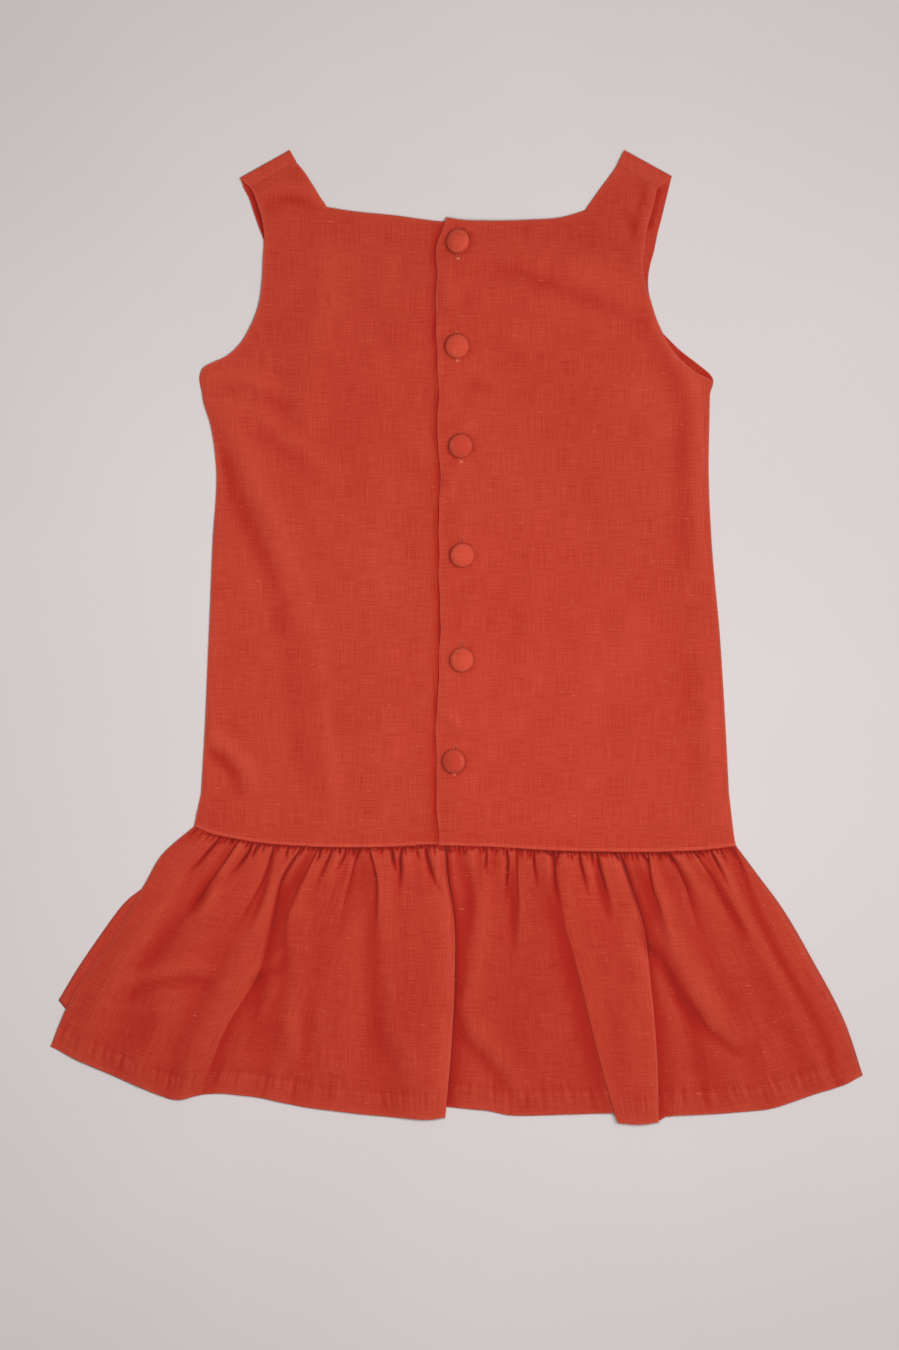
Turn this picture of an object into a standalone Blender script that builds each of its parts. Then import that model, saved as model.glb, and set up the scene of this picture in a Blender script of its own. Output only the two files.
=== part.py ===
"""A child's sleeveless linen dress with a dropped waist, laid flat with its buttoned back up.

Lengths in the tables are in millimetres: X to the right, Y towards the shoulders, Z up from the
surface that the dress lies on. Every cloth piece is one open surface of the cloth's middle layer,
lofted from its sections, with a Solidify modifier for the wall.
"""

import math
from collections import namedtuple

import bmesh
import bpy
import numpy as np

MM = 0.001
COLLECTION = "sarafan_dress"

# The wall and the levels of the laid layers
WALL = 1.0
GAP = 0.3
LEVEL_FRONT = WALL / 2
LEVEL_BACK = LEVEL_FRONT + WALL + GAP
LEVEL_LAP = LEVEL_BACK + WALL + GAP

# The shoulder fold of each front strap, and the shoulder seam on top of it
FOLD_STEPS = 5
FOLD_RADIUS = (LEVEL_BACK - LEVEL_FRONT) / 2
STRAP_COLUMNS = 5

# The lapped back opening
UNDERLAP_EDGE = 12.0
LAP_FLAT_END = 14.5
LAP_SLOPE_END = 34.0
LEFT_COLUMNS = (-66.0, -50.0, -34.0, -18.0, -3.0, UNDERLAP_EDGE)
RIGHT_COLUMNS = (66.0, 50.0, LAP_SLOPE_END, 27.0, 20.0, LAP_FLAT_END, 2.0)
FRONT_COLUMNS = (-60.0, -36.0, -12.0, 12.0, 36.0, 60.0)

# The dropped waist: the seam allowance lies up and is stitched down
SEAM_RIDGE_WIDTH = 3.2
SEAM_RIDGE_HEIGHT = 0.5
SEAM_RIDGE_FALL = 1.6
RIDGE_RUN = 26.0
UNDERLAP_RIDGE_END = 1.0
UNDERLAP_RIDGE_FADE = 12.0

# The gathered flounce: the gathers stand up at the seam, fade into broad waves down its length
# and flatten at the side edges; at the lap its top edge is lifted. Shares are of its length.
GATHER_RISE = 1.5
GATHER_AT_SEAM = 0.6
GATHER_FULL_BY = 0.06
LONG_FADE = 0.7
WAVE_FULL_BY = 0.6
WAVE_ROUNDNESS = 0.8
OVER_AT_SEAM = 0.35
OVER_RUN = 16.0
SIDE_DROP = 14.0
LAP_LIFT = 0.9
LAP_LIFT_X = 2.0
LAP_LIFT_REACH = 30.0
LAP_LIFT_SLOPE = 16.0
LAP_LIFT_FADE = 0.12
SAME_PLACE = 1e-6

# Covered buttons and their buttonholes
BUTTON_RADIUS = 7.5
BUTTON_HEIGHT = 5.0
BUTTON_RIM_HEIGHT = 1.5
BUTTON_UNDER = ((BUTTON_RADIUS - 0.2, 0.7), (BUTTON_RADIUS - 1.0, 0.2), (2.0, 0.0), (0.0, 0.0))
BUTTON_FOOT = BUTTON_RADIUS - 1.0
BUTTON_STEPS = 20
CROWN_STEPS = 6
SHANK_RADIUS = 0.8
SHANK_SIDES = 10
SHANK_INSIDE = 1.2
SLIT_HALF_LENGTH = 9.5
SLIT_HALF_WIDTH = 1.3
SLIT_SIDES = 16

CLOTH_COLOUR = (0.56, 0.062, 0.034, 1.0)
BUTTON_COLOUR = (0.58, 0.072, 0.042, 1.0)
CLOTH_ROUGHNESS = 0.85
BUTTON_ROUGHNESS = 0.7

# A section of a strap: its armhole edge and its neck edge
Strap = namedtuple("Strap", "edge_x edge_y neck_x neck_y")
BACK_LEFT_STRAP = (
    Strap(-127.4, 278.2, -99.8, 294.8),
    Strap(-124.9, 272.6, -94.9, 289.0),
    Strap(-122.3, 265.2, -89.2, 280.4),
    Strap(-120.3, 257.5, -84.5, 272.6),
    Strap(-119.2, 249.0, -80.4, 266.5),
)
BACK_RIGHT_STRAP = (
    Strap(124.3, 277.9, 99.9, 293.0),
    Strap(122.0, 267.0, 94.8, 285.6),
    Strap(120.1, 260.2, 89.2, 278.2),
    Strap(117.9, 252.5, 83.6, 270.2),
    Strap(116.9, 243.8, 79.9, 264.5),
)
FRONT_LEFT_STRAP = (
    Strap(-134.2, 284.6, -103.4, 301.8),
    Strap(-132.0, 278.6, -101.0, 294.6),
    Strap(-128.6, 272.0, -95.2, 284.8),
    Strap(-126.0, 264.2, -90.0, 275.0),
    Strap(-122.9, 255.2, -86.0, 264.0),
    Strap(-119.2, 245.0, -83.0, 252.0),
)
FRONT_RIGHT_STRAP = (
    Strap(133.6, 285.5, 104.0, 301.8),
    Strap(131.4, 277.4, 100.8, 293.4),
    Strap(129.0, 267.4, 94.6, 282.0),
    Strap(126.8, 258.4, 88.8, 272.0),
    Strap(124.6, 250.0, 84.6, 262.0),
    Strap(122.6, 240.0, 82.0, 252.0),
)
# The end of the front strap on the back side, at the shoulder seam
FRONT_LEFT_SEAM = Strap(-127.8, 278.6, -99.6, 295.2)
FRONT_RIGHT_SEAM = Strap(124.8, 278.4, 99.9, 293.6)

# A section across a back panel beside its armhole: armhole edge, line below the neck corner, centre edge
Panel = namedtuple("Panel", "edge_x edge_y neck_x neck_y centre_x centre_y")
BACK_LEFT_ARMHOLE = (
    Panel(-119.2, 249.0, -80.4, 266.5, UNDERLAP_EDGE, 257.0),
    Panel(-119.8, 234.0, -82.0, 250.0, UNDERLAP_EDGE, 243.0),
    Panel(-120.7, 218.0, -84.0, 230.0, UNDERLAP_EDGE, 224.0),
    Panel(-122.9, 204.5, -86.0, 212.0, UNDERLAP_EDGE, 208.0),
    Panel(-127.6, 192.8, -88.0, 198.0, UNDERLAP_EDGE, 195.0),
    Panel(-134.2, 181.8, -90.0, 186.0, UNDERLAP_EDGE, 184.0),
    Panel(-143.1, 173.8, -92.0, 177.0, UNDERLAP_EDGE, 176.0),
    Panel(-151.2, 170.2, -94.0, 171.0, UNDERLAP_EDGE, 170.0),
    Panel(-157.2, 166.6, -95.0, 164.0, UNDERLAP_EDGE, 164.0),
)
BACK_RIGHT_ARMHOLE = (
    Panel(116.9, 243.8, 79.9, 264.5, -6.2, 260.0),
    Panel(115.6, 231.0, 81.0, 247.0, -12.7, 242.0),
    Panel(116.6, 220.5, 82.0, 230.0, -12.3, 225.0),
    Panel(120.0, 209.5, 84.0, 213.0, -12.6, 207.0),
    Panel(124.9, 194.6, 86.0, 197.0, -13.0, 192.0),
    Panel(133.6, 178.3, 88.0, 184.0, -12.2, 180.0),
    Panel(141.0, 170.3, 90.0, 174.0, -11.8, 171.0),
    Panel(149.7, 163.3, 92.0, 166.0, -11.4, 165.0),
    Panel(157.3, 159.6, 94.0, 159.0, -11.2, 158.0),
)
# A section across the front beside its armholes, from its left edge to its right edge
Front = namedtuple("Front", "left_x left_y left_neck_y right_neck_y right_x right_y")
FRONT_ARMHOLES = (
    Front(-119.2, 245.0, 252.0, 252.0, 122.6, 240.0),
    Front(-117.2, 232.0, 238.0, 238.0, 119.6, 228.6),
    Front(-117.8, 217.0, 221.0, 221.0, 118.9, 216.0),
    Front(-120.0, 204.0, 206.0, 206.0, 121.6, 203.0),
    Front(-125.2, 191.8, 193.0, 193.0, 125.2, 191.8),
    Front(-132.4, 180.2, 182.0, 182.0, 131.8, 184.4),
    Front(-141.6, 172.0, 173.0, 173.0, 140.2, 176.4),
    Front(-150.0, 168.0, 168.0, 168.0, 149.4, 169.4),
    Front(-158.0, 164.8, 162.0, 162.0, 158.0, 162.0),
)
FRONT_NECK_X = 83.0

# The neck edge of each back panel, from the strap to the centre edge
Point = namedtuple("Point", "x y")
NECKLINE_LEFT = (
    Point(-80.8, 266.5),
    Point(-63.9, 263.9),
    Point(-38.6, 261.3),
    Point(-8.7, 257.5),
    Point(UNDERLAP_EDGE, 257.0),
)
NECKLINE_RIGHT = (
    Point(-6.2, 260.0),
    Point(3.0, 258.5),
    Point(20.0, 257.9),
    Point(45.0, 258.5),
    Point(66.0, 260.4),
    Point(79.9, 264.5),
)

# A level section below the armholes: the two side edges and the edge of the lap
Level = namedtuple("Level", "y left_x right_x lap_x")
SIDES = (
    Level(150.0, -157.5, 157.0, -11.3),
    Level(131.0, -152.3, 156.6, -11.9),
    Level(105.0, -148.8, 156.2, -10.4),
    Level(60.0, -150.9, 158.0, -11.1),
    Level(0.0, -153.4, 163.2, -10.2),
    Level(-60.0, -156.0, 166.9, -12.6),
    Level(-97.0, -158.2, 168.8, -12.4),
)
WAIST_EDGES = Level(0.0, -162.4, 173.0, -11.0)

# The line of the waist seam
WAIST = (
    Point(-162.6, -117.2),
    Point(-152.1, -121.6),
    Point(-139.9, -124.2),
    Point(-126.0, -126.8),
    Point(-105.2, -128.9),
    Point(-58.2, -130.2),
    Point(-8.4, -129.0),
    Point(24.3, -130.0),
    Point(59.3, -132.1),
    Point(94.2, -132.9),
    Point(129.0, -132.9),
    Point(155.1, -131.7),
    Point(173.3, -129.4),
)

# The edge of the back flounce's hem, with the steps where one fold lies over the next
HEM = (
    Point(-251.8, -253.0),
    Point(-239.3, -260.1),
    Point(-210.8, -272.4),
    Point(-184.2, -283.8),
    Point(-173.0, -287.6),
    Point(-160.0, -283.4),
    Point(-145.1, -282.5),
    Point(-122.5, -285.1),
    Point(-94.7, -291.2),
    Point(-58.2, -295.6),
    Point(-18.0, -299.1),
    Point(-8.6, -297.6),
    Point(-6.6, -291.0),
    Point(23.0, -293.6),
    Point(30.0, -296.2),
    Point(42.0, -296.6),
    Point(97.6, -294.7),
    Point(100.2, -300.8),
    Point(115.0, -302.0),
    Point(124.4, -300.2),
    Point(130.0, -296.6),
    Point(163.7, -295.2),
    Point(195.0, -292.5),
    Point(224.6, -282.2),
    Point(244.0, -276.6),
    Point(251.8, -270.4),
)

# The long folds of the back flounce: the x of each at these shares of its length, how far the
# cloth to the right (+) or the left (-) lies over it, and the height of the wave up to the next
SHARES = (0.0, 0.12, 0.25, 0.5, 0.75, 1.0)
Fold = namedtuple("Fold", "x0 x12 x25 x50 x75 x100 over wave")
FOLDS = (
    Fold(-162.6, -181.5, -192.2, -212.0, -236.5, -251.8, 0.0, 2.2),
    Fold(-133.2, -144.5, -158.5, -188.0, -202.0, -211.0, 0.0, 2.6),
    Fold(-112.2, -118.0, -129.0, -150.0, -168.0, -178.0, 0.0, 1.8),
    Fold(-95.6, -107.5, -114.0, -126.8, -148.5, -158.8, -3.2, 1.6),
    Fold(-85.1, -95.7, -104.2, -112.5, -122.0, -131.0, 0.0, 2.2),
    Fold(-61.5, -65.5, -71.2, -82.0, -92.0, -99.0, 0.0, 1.8),
    Fold(-54.3, -49.7, -49.8, -49.8, -49.5, -34.0, 0.0, 2.4),
    Fold(-6.9, -5.8, -2.3, -2.0, -4.2, -7.9, -4.2, 1.6),
    Fold(37.9, 37.4, 38.1, 39.0, 41.0, 44.0, 0.0, 2.2),
    Fold(60.6, 62.9, 67.1, 77.6, 87.6, 98.9, 4.2, 1.0),
    Fold(100.8, 107.8, 114.4, 120.0, 123.5, 124.6, -3.2, 1.4),
    Fold(118.5, 121.3, 128.1, 141.0, 157.0, 171.0, 0.0, 1.8),
    Fold(137.9, 143.0, 147.7, 163.0, 180.0, 195.0, 0.0, 1.8),
    Fold(148.4, 159.7, 168.0, 190.0, 207.0, 222.0, 0.0, 1.6),
    Fold(171.1, 179.0, 188.0, 206.0, 223.6, 236.0, -2.4, 0.8),
    Fold(173.3, 186.0, 199.8, 220.8, 239.5, 251.8, 0.0, 0.0),
)

# The short gathers between those folds: their places on the waist seam and how far down they run
Gather = namedtuple("Gather", "x run")
GATHERS = (
    Gather(-157.2, 0.20),
    Gather(-146.3, 0.42),
    Gather(-126.6, 0.16),
    Gather(-123.3, 0.06),
    Gather(-103.9, 0.22),
    Gather(-77.0, 0.20),
    Gather(-72.3, 0.06),
    Gather(-68.4, 0.08),
    Gather(-47.4, 0.14),
    Gather(-40.2, 0.10),
    Gather(-33.5, 0.28),
    Gather(-26.0, 0.10),
    Gather(-18.8, 0.20),
    Gather(-13.0, 0.08),
    Gather(0.2, 0.14),
    Gather(6.4, 0.44),
    Gather(13.3, 0.10),
    Gather(18.0, 0.16),
    Gather(24.7, 0.08),
    Gather(31.6, 0.30),
    Gather(47.6, 0.18),
    Gather(54.9, 0.10),
    Gather(68.5, 0.12),
    Gather(76.2, 0.22),
    Gather(87.0, 0.32),
    Gather(93.9, 0.10),
    Gather(107.0, 0.12),
    Gather(112.5, 0.26),
    Gather(126.5, 0.12),
    Gather(131.8, 0.14),
    Gather(155.0, 0.18),
    Gather(164.4, 0.12),
)

# The share of the flounce's length at each row of its wall
FLOUNCE_ROWS = (0.0, 0.03, 0.08, 0.15, 0.24, 0.35, 0.48, 0.62, 0.76, 0.9, 1.0)

# The front flounce lies flat under the back one and shows along its left edge only
FRONT_FLOUNCE_LEFT = (
    Point(-162.0, -117.8),
    Point(-178.0, -136.0),
    Point(-192.2, -153.4),
    Point(-203.6, -162.6),
    Point(-213.6, -174.7),
    Point(-233.4, -203.2),
    Point(-246.6, -225.0),
)
FRONT_FLOUNCE_RIGHT = (
    Point(172.6, -129.8),
    Point(184.0, -148.0),
    Point(190.6, -158.0),
    Point(197.4, -168.0),
    Point(216.0, -200.0),
    Point(234.0, -236.0),
    Point(245.0, -264.0),
)
FRONT_HEM = (
    Point(-246.6, -225.0),
    Point(-236.0, -238.0),
    Point(-216.0, -257.0),
    Point(-184.0, -272.0),
    Point(-140.0, -277.0),
    Point(-60.0, -286.0),
    Point(60.0, -287.0),
    Point(160.0, -287.0),
    Point(214.0, -278.0),
    Point(245.0, -264.0),
)
FRONT_FLOUNCE_COLUMNS = 18

# Each button's centre, how far it leans and towards which side (degrees, from +X), and the y of
# the middle of its buttonhole
Button = namedtuple("Button", "x y lean towards slit_y")
BUTTONS = (
    Button(1.2, 244.7, 16.0, 200.0, 243.0),
    Button(0.4, 180.0, 5.0, 250.0, 180.0),
    Button(2.7, 118.4, 6.0, 60.0, 117.5),
    Button(3.5, 50.7, 5.0, 300.0, 52.5),
    Button(3.4, -14.1, 7.0, 160.0, -13.5),
    Button(-1.4, -76.9, 18.0, 180.0, -75.2),
)


def interpolate(points, x):
    """The y of a line of points at x."""
    return float(np.interp(x, [p.x for p in points], [p.y for p in points]))


def waist_y(x):
    return interpolate(WAIST, x)


def between(a, b, share):
    return tuple(p + (q - p) * share for p, q in zip(a, b))


def ease(share):
    """A smooth step from 0 to 1."""
    t = min(max(share, 0.0), 1.0)
    return t * t * (3.0 - 2.0 * t)


def lap_level(x):
    """The height of the right back panel, which climbs over the underlap at the centre."""
    slope = (x - LAP_FLAT_END) / (LAP_SLOPE_END - LAP_FLAT_END)
    return LEVEL_LAP - (LEVEL_LAP - LEVEL_BACK) * ease(slope)


def ridge(above_seam):
    """The height of the stitched seam allowance at a distance above the waist seam."""
    return SEAM_RIDGE_HEIGHT * (1.0 - ease((above_seam - SEAM_RIDGE_WIDTH) / SEAM_RIDGE_FALL))


def strap_points(strap, z):
    edge, neck = (strap.edge_x, strap.edge_y), (strap.neck_x, strap.neck_y)
    steps = range(STRAP_COLUMNS)
    return [(*between(edge, neck, i / (STRAP_COLUMNS - 1)), z) for i in steps]


def panel_row(panel, columns, neckline=None):
    """A section from the armhole edge to the neck line, and from there to the centre edge."""
    strap = Strap(panel.edge_x, panel.edge_y, panel.neck_x, panel.neck_y)
    row = [point[:2] for point in strap_points(strap, 0.0)]
    for x in columns:
        share = (x - panel.neck_x) / (panel.centre_x - panel.neck_x)
        level = panel.neck_y + (panel.centre_y - panel.neck_y) * share
        row.append((x, interpolate(neckline, x) if neckline else level))
    return row


def level_row(y, edge_x, neck_x, columns):
    """A section below the armhole, at one height or following the waist seam."""
    steps = range(STRAP_COLUMNS)
    across = [edge_x + (neck_x - edge_x) * i / (STRAP_COLUMNS - 1) for i in steps]
    return [(x, y(x) if callable(y) else y) for x in (*across, *columns)]


def waist_rows(edge_x, side_x, neck_x, columns):
    """The rows at the stitched ridge and on the seam, with the distance of each above the seam."""
    rows = []
    for above in (SEAM_RIDGE_WIDTH + SEAM_RIDGE_FALL, SEAM_RIDGE_WIDTH, GAP / 2):
        share = 1.0 - above / RIDGE_RUN
        edge = side_x + (edge_x - side_x) * share
        row = level_row(lambda x, up=above: waist_y(x) + up, edge, neck_x, columns)
        rows.append((row, above))
    return rows


def loft(name, rows, colour):
    """Join rows of middle-layer points into a surface and give it the cloth's wall."""
    shell = bmesh.new()
    grid = []
    for row in rows:
        grid.append([shell.verts.new([MM * c for c in p]) if p else None for p in row])
    for upper, lower in zip(grid, grid[1:]):
        for i in range(len(upper) - 1):
            corners = (upper[i], upper[i + 1], lower[i + 1], lower[i])
            if all(corners):
                shell.faces.new(corners)
    loose = [v for v in shell.verts if not v.link_faces]
    bmesh.ops.delete(shell, geom=loose, context="VERTS")
    bmesh.ops.recalc_face_normals(shell, faces=shell.faces)
    mesh = bpy.data.meshes.new(name)
    shell.to_mesh(mesh)
    shell.free()
    piece = bpy.data.objects.new(name, mesh)
    parts.objects.link(piece)
    piece.data.materials.append(material(name, colour, CLOTH_ROUGHNESS))
    wall = piece.modifiers.new("wall", "SOLIDIFY")
    wall.thickness = WALL * MM
    wall.offset = 0.0
    wall.use_even_offset = True
    wall.use_quality_normals = True
    return piece


def material(name, colour, roughness):
    made = bpy.data.materials.new(name)
    made.use_nodes = True
    shader = made.node_tree.nodes["Principled BSDF"]
    shader.inputs["Base Color"].default_value = colour
    shader.inputs["Roughness"].default_value = roughness
    shader.inputs["Metallic"].default_value = 0.0
    return made


def shoulder_rows(strap, seam):
    """The strap's sections over the shoulder: from the seam on top, round the fold, to the underside."""
    edge, neck = np.array([strap.edge_x, strap.edge_y]), np.array([strap.neck_x, strap.neck_y])
    along = (neck - edge) / np.linalg.norm(neck - edge)
    outward = np.array([-along[1], along[0]])
    if outward[1] < 0:
        outward = -outward
    middle = (LEVEL_FRONT + LEVEL_BACK) / 2
    rows = [strap_points(seam, LEVEL_BACK)]
    for step in range(FOLD_STEPS):
        angle = math.pi / 2 - math.pi * step / (FOLD_STEPS - 1)
        out = outward * (FOLD_RADIUS * math.cos(angle) - FOLD_RADIUS - WALL / 2)
        turned = Strap(*(edge + out), *(neck + out))
        rows.append(strap_points(turned, middle + FOLD_RADIUS * math.sin(angle)))
    return rows


def front_bodice():
    """The front panel, face down, with the ends of its straps folded over the shoulders."""
    gap = [None] * len(FRONT_COLUMNS)
    left = shoulder_rows(FRONT_LEFT_STRAP[0], FRONT_LEFT_SEAM)
    right = shoulder_rows(FRONT_RIGHT_STRAP[0], FRONT_RIGHT_SEAM)
    left += [strap_points(s, LEVEL_FRONT) for s in FRONT_LEFT_STRAP[1:-1]]
    right += [strap_points(s, LEVEL_FRONT) for s in FRONT_RIGHT_STRAP[1:-1]]
    rows = [a + gap + b[::-1] for a, b in zip(left, right)]
    for s in FRONT_ARMHOLES:
        a = strap_points(Strap(s.left_x, s.left_y, -FRONT_NECK_X, s.left_neck_y), LEVEL_FRONT)
        b = strap_points(Strap(s.right_x, s.right_y, FRONT_NECK_X, s.right_neck_y), LEVEL_FRONT)
        middle = [(x, s.left_neck_y, LEVEL_FRONT) for x in FRONT_COLUMNS]
        rows.append(a + middle + b[::-1])
    for s in SIDES:
        a = level_row(s.y, s.left_x, -FRONT_NECK_X, FRONT_COLUMNS)
        b = level_row(s.y, s.right_x, FRONT_NECK_X, ())
        rows.append([(*p, LEVEL_FRONT) for p in a + b[::-1]])
    a = level_row(lambda x: waist_y(x) + GAP / 2, WAIST_EDGES.left_x, -FRONT_NECK_X, FRONT_COLUMNS)
    b = level_row(lambda x: waist_y(x) + GAP / 2, WAIST_EDGES.right_x, FRONT_NECK_X, ())
    rows.append([(*p, LEVEL_FRONT) for p in a + b[::-1]])
    return loft("front_bodice", rows, CLOTH_COLOUR)


def back_left():
    """The left back panel, which runs on under the lap and carries the buttons."""
    gap = [None] * len(LEFT_COLUMNS)
    neck_x = BACK_LEFT_ARMHOLE[-1].neck_x
    rows = [strap_points(s, LEVEL_BACK) + gap for s in BACK_LEFT_STRAP[:-1]]
    flat = [panel_row(BACK_LEFT_ARMHOLE[0], LEFT_COLUMNS, NECKLINE_LEFT)]
    flat += [panel_row(s, LEFT_COLUMNS) for s in BACK_LEFT_ARMHOLE[1:]]
    flat += [level_row(s.y, s.left_x, neck_x, LEFT_COLUMNS) for s in SIDES]
    rows += [[(*p, LEVEL_BACK) for p in row] for row in flat]
    for row, above in waist_rows(WAIST_EDGES.left_x, SIDES[-1].left_x, neck_x, LEFT_COLUMNS):
        points = []
        for x, y in row:
            clear_of_lap = ease((UNDERLAP_RIDGE_END - x) / UNDERLAP_RIDGE_FADE)
            points.append((x, y, LEVEL_BACK + ridge(above) * clear_of_lap))
        rows.append(points)
    return loft("back_left", rows, CLOTH_COLOUR)


def back_right():
    """The right back panel, which laps over the left one and has the buttonholes."""
    gap = [None] * (len(RIGHT_COLUMNS) + 1)
    neck_x = BACK_RIGHT_ARMHOLE[-1].neck_x
    rows = [strap_points(s, LEVEL_BACK) + gap for s in BACK_RIGHT_STRAP[:-1]]
    top = BACK_RIGHT_ARMHOLE[0]
    flat = [panel_row(top, (*RIGHT_COLUMNS, top.centre_x), NECKLINE_RIGHT)]
    flat += [panel_row(s, (*RIGHT_COLUMNS, s.centre_x)) for s in BACK_RIGHT_ARMHOLE[1:]]
    flat += [level_row(s.y, s.right_x, neck_x, (*RIGHT_COLUMNS, s.lap_x)) for s in SIDES]
    rows += [[(x, y, lap_level(x)) for x, y in row] for row in flat]
    columns = (*RIGHT_COLUMNS, WAIST_EDGES.lap_x)
    for row, above in waist_rows(WAIST_EDGES.right_x, SIDES[-1].right_x, neck_x, columns):
        rows.append([(x, y, lap_level(x) + ridge(above)) for x, y in row])
    panel = loft("back_right", rows, CLOTH_COLOUR)
    for number, button in enumerate(BUTTONS, 1):
        cut_slit(panel, button, number)
    return panel


def as_cutter(solid, name, place):
    """Put a solid among the cutters, at a place in millimetres."""
    solid.name = name
    solid.location = [MM * c for c in place]
    solid.hide_render = True
    solid.display_type = "WIRE"
    for holder in solid.users_collection:
        holder.objects.unlink(solid)
    cutters.objects.link(solid)


def cut_slit(panel, button, number):
    """Cut the buttonhole, a pointed slit along Y that the button's shank comes through."""
    bpy.ops.mesh.primitive_cylinder_add(vertices=SLIT_SIDES, radius=1.0, depth=4 * WALL * MM)
    slit = bpy.context.active_object
    for vertex in slit.data.vertices:
        vertex.co.x *= SLIT_HALF_WIDTH * MM
        vertex.co.y *= SLIT_HALF_LENGTH * MM
    as_cutter(slit, f"slit_{number}", (button.x, button.slit_y, LEVEL_LAP))
    cut = panel.modifiers.new(f"buttonhole_{number}", "BOOLEAN")
    cut.operation = "DIFFERENCE"
    cut.object = slit


def flounce_columns():
    """Every fold and gather in order along the waist, and the columns of the wall between them."""
    places = [Gather(f.x0, 1.0) for f in FOLDS] + list(GATHERS)
    valleys = sorted(places, key=lambda g: g.x)
    columns = []
    for here, after in zip(valleys, valleys[1:]):
        step = (after.x - here.x) / 3
        columns.append((here.x, here.run, True))
        columns.append((here.x + step, max(here.run, after.run), False))
        columns.append((here.x + 2 * step, max(here.run, after.run), False))
    columns.append((valleys[-1].x, 1.0, True))
    return columns


def fold_x(fold, share):
    """Where a fold lies at a share of the flounce's length."""
    return float(np.interp(share, SHARES, fold[: len(SHARES)]))


def wave_height(fold, across, share):
    """The broad wave between a fold and the next one."""
    full = fold.wave * math.sin(math.pi * across) ** WAVE_ROUNDNESS
    return full * ease(share / WAVE_FULL_BY)


def gather_height(run, share):
    """The rise of the cloth between two gathers, which fades over their run."""
    at_seam = GATHER_AT_SEAM + (1.0 - GATHER_AT_SEAM) * ease(share / GATHER_FULL_BY)
    fade = 1.0 - LONG_FADE * share if run >= 1.0 else 1.0 - ease(share / run)
    return GATHER_RISE * at_seam * fade


def over_height(left, right, to_left, to_right, share):
    """The lift of cloth that lies over the fold beside it."""
    spread = OVER_AT_SEAM + (1.0 - OVER_AT_SEAM) * ease(share / WAVE_FULL_BY)
    over_right = max(-right.over, 0.0) * math.exp(-to_right / OVER_RUN)
    over_left = max(left.over, 0.0) * math.exp(-to_left / OVER_RUN) * (to_left > SAME_PLACE)
    return spread * max(over_right, over_left)


def flounce_point(x0, run, in_valley, share):
    """A point of the back flounce, from its place on the waist and its share of the length."""
    index = max(i for i, f in enumerate(FOLDS[:-1]) if f.x0 <= x0 + SAME_PLACE)
    left, right = FOLDS[index], FOLDS[index + 1]
    across = (x0 - left.x0) / (right.x0 - left.x0)
    x_left, x_right = fold_x(left, share), fold_x(right, share)
    x = x_left + (x_right - x_left) * across
    top = waist_y(x0) - GAP / 2
    bottom = interpolate(HEM, left.x100 + (right.x100 - left.x100) * across)
    height = wave_height(left, across, share)
    height += over_height(left, right, x - x_left, x_right - x, share)
    if not in_valley:
        height += gather_height(run, share)
    height *= ease(min(x0 - FOLDS[0].x0, FOLDS[-1].x0 - x0) / SIDE_DROP)
    at_lap = ease((LAP_LIFT_REACH - abs(x - LAP_LIFT_X)) / LAP_LIFT_SLOPE)
    height += LAP_LIFT * at_lap * (1.0 - ease(share / LAP_LIFT_FADE))
    return (x, top + (bottom - top) * share, LEVEL_BACK + GAP + height)


def skirt_back():
    """The gathered back flounce: a wall through rows that run from side to side."""
    columns = flounce_columns()
    rows = [[flounce_point(*column, share) for column in columns] for share in FLOUNCE_ROWS]
    return loft("skirt_back", rows, CLOTH_COLOUR)


def side_point(points, share):
    """A point at a share of a line of points."""
    at = np.linspace(0.0, 1.0, len(points))
    return tuple(float(np.interp(share, at, values)) for values in zip(*points))


def skirt_front():
    """The front flounce, which lies flat on the surface under the back one."""
    top_left, top_right = FRONT_FLOUNCE_LEFT[0], FRONT_FLOUNCE_RIGHT[0]
    rows = []
    for share in np.linspace(0.0, 1.0, 2 * len(FRONT_FLOUNCE_LEFT) - 1):
        left, right = side_point(FRONT_FLOUNCE_LEFT, share), side_point(FRONT_FLOUNCE_RIGHT, share)
        row = []
        for across in np.linspace(0.0, 1.0, FRONT_FLOUNCE_COLUMNS + 1):
            top_x, top_chord = between(top_left, top_right, across)
            hem_x, hem_chord = between(FRONT_HEM[0], FRONT_HEM[-1], across)
            top_sag = waist_y(top_x) - GAP / 2 - top_chord
            hem_sag = interpolate(FRONT_HEM, hem_x) - hem_chord
            x, y = between(left, right, across)
            row.append((x, y + top_sag + (hem_sag - top_sag) * share, LEVEL_FRONT))
        rows.append(row)
    return loft("skirt_front", rows, CLOTH_COLOUR)


def button_profile():
    """The outline of a covered button from its crown to its shank, at +X and running down."""
    points = []
    for step in range(CROWN_STEPS + 1):
        angle = math.pi / 2 * step / CROWN_STEPS
        x = BUTTON_RADIUS * math.sin(angle)
        points.append((x, BUTTON_RIM_HEIGHT + (BUTTON_HEIGHT - BUTTON_RIM_HEIGHT) * math.cos(angle)))
    return points + list(BUTTON_UNDER)


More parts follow.
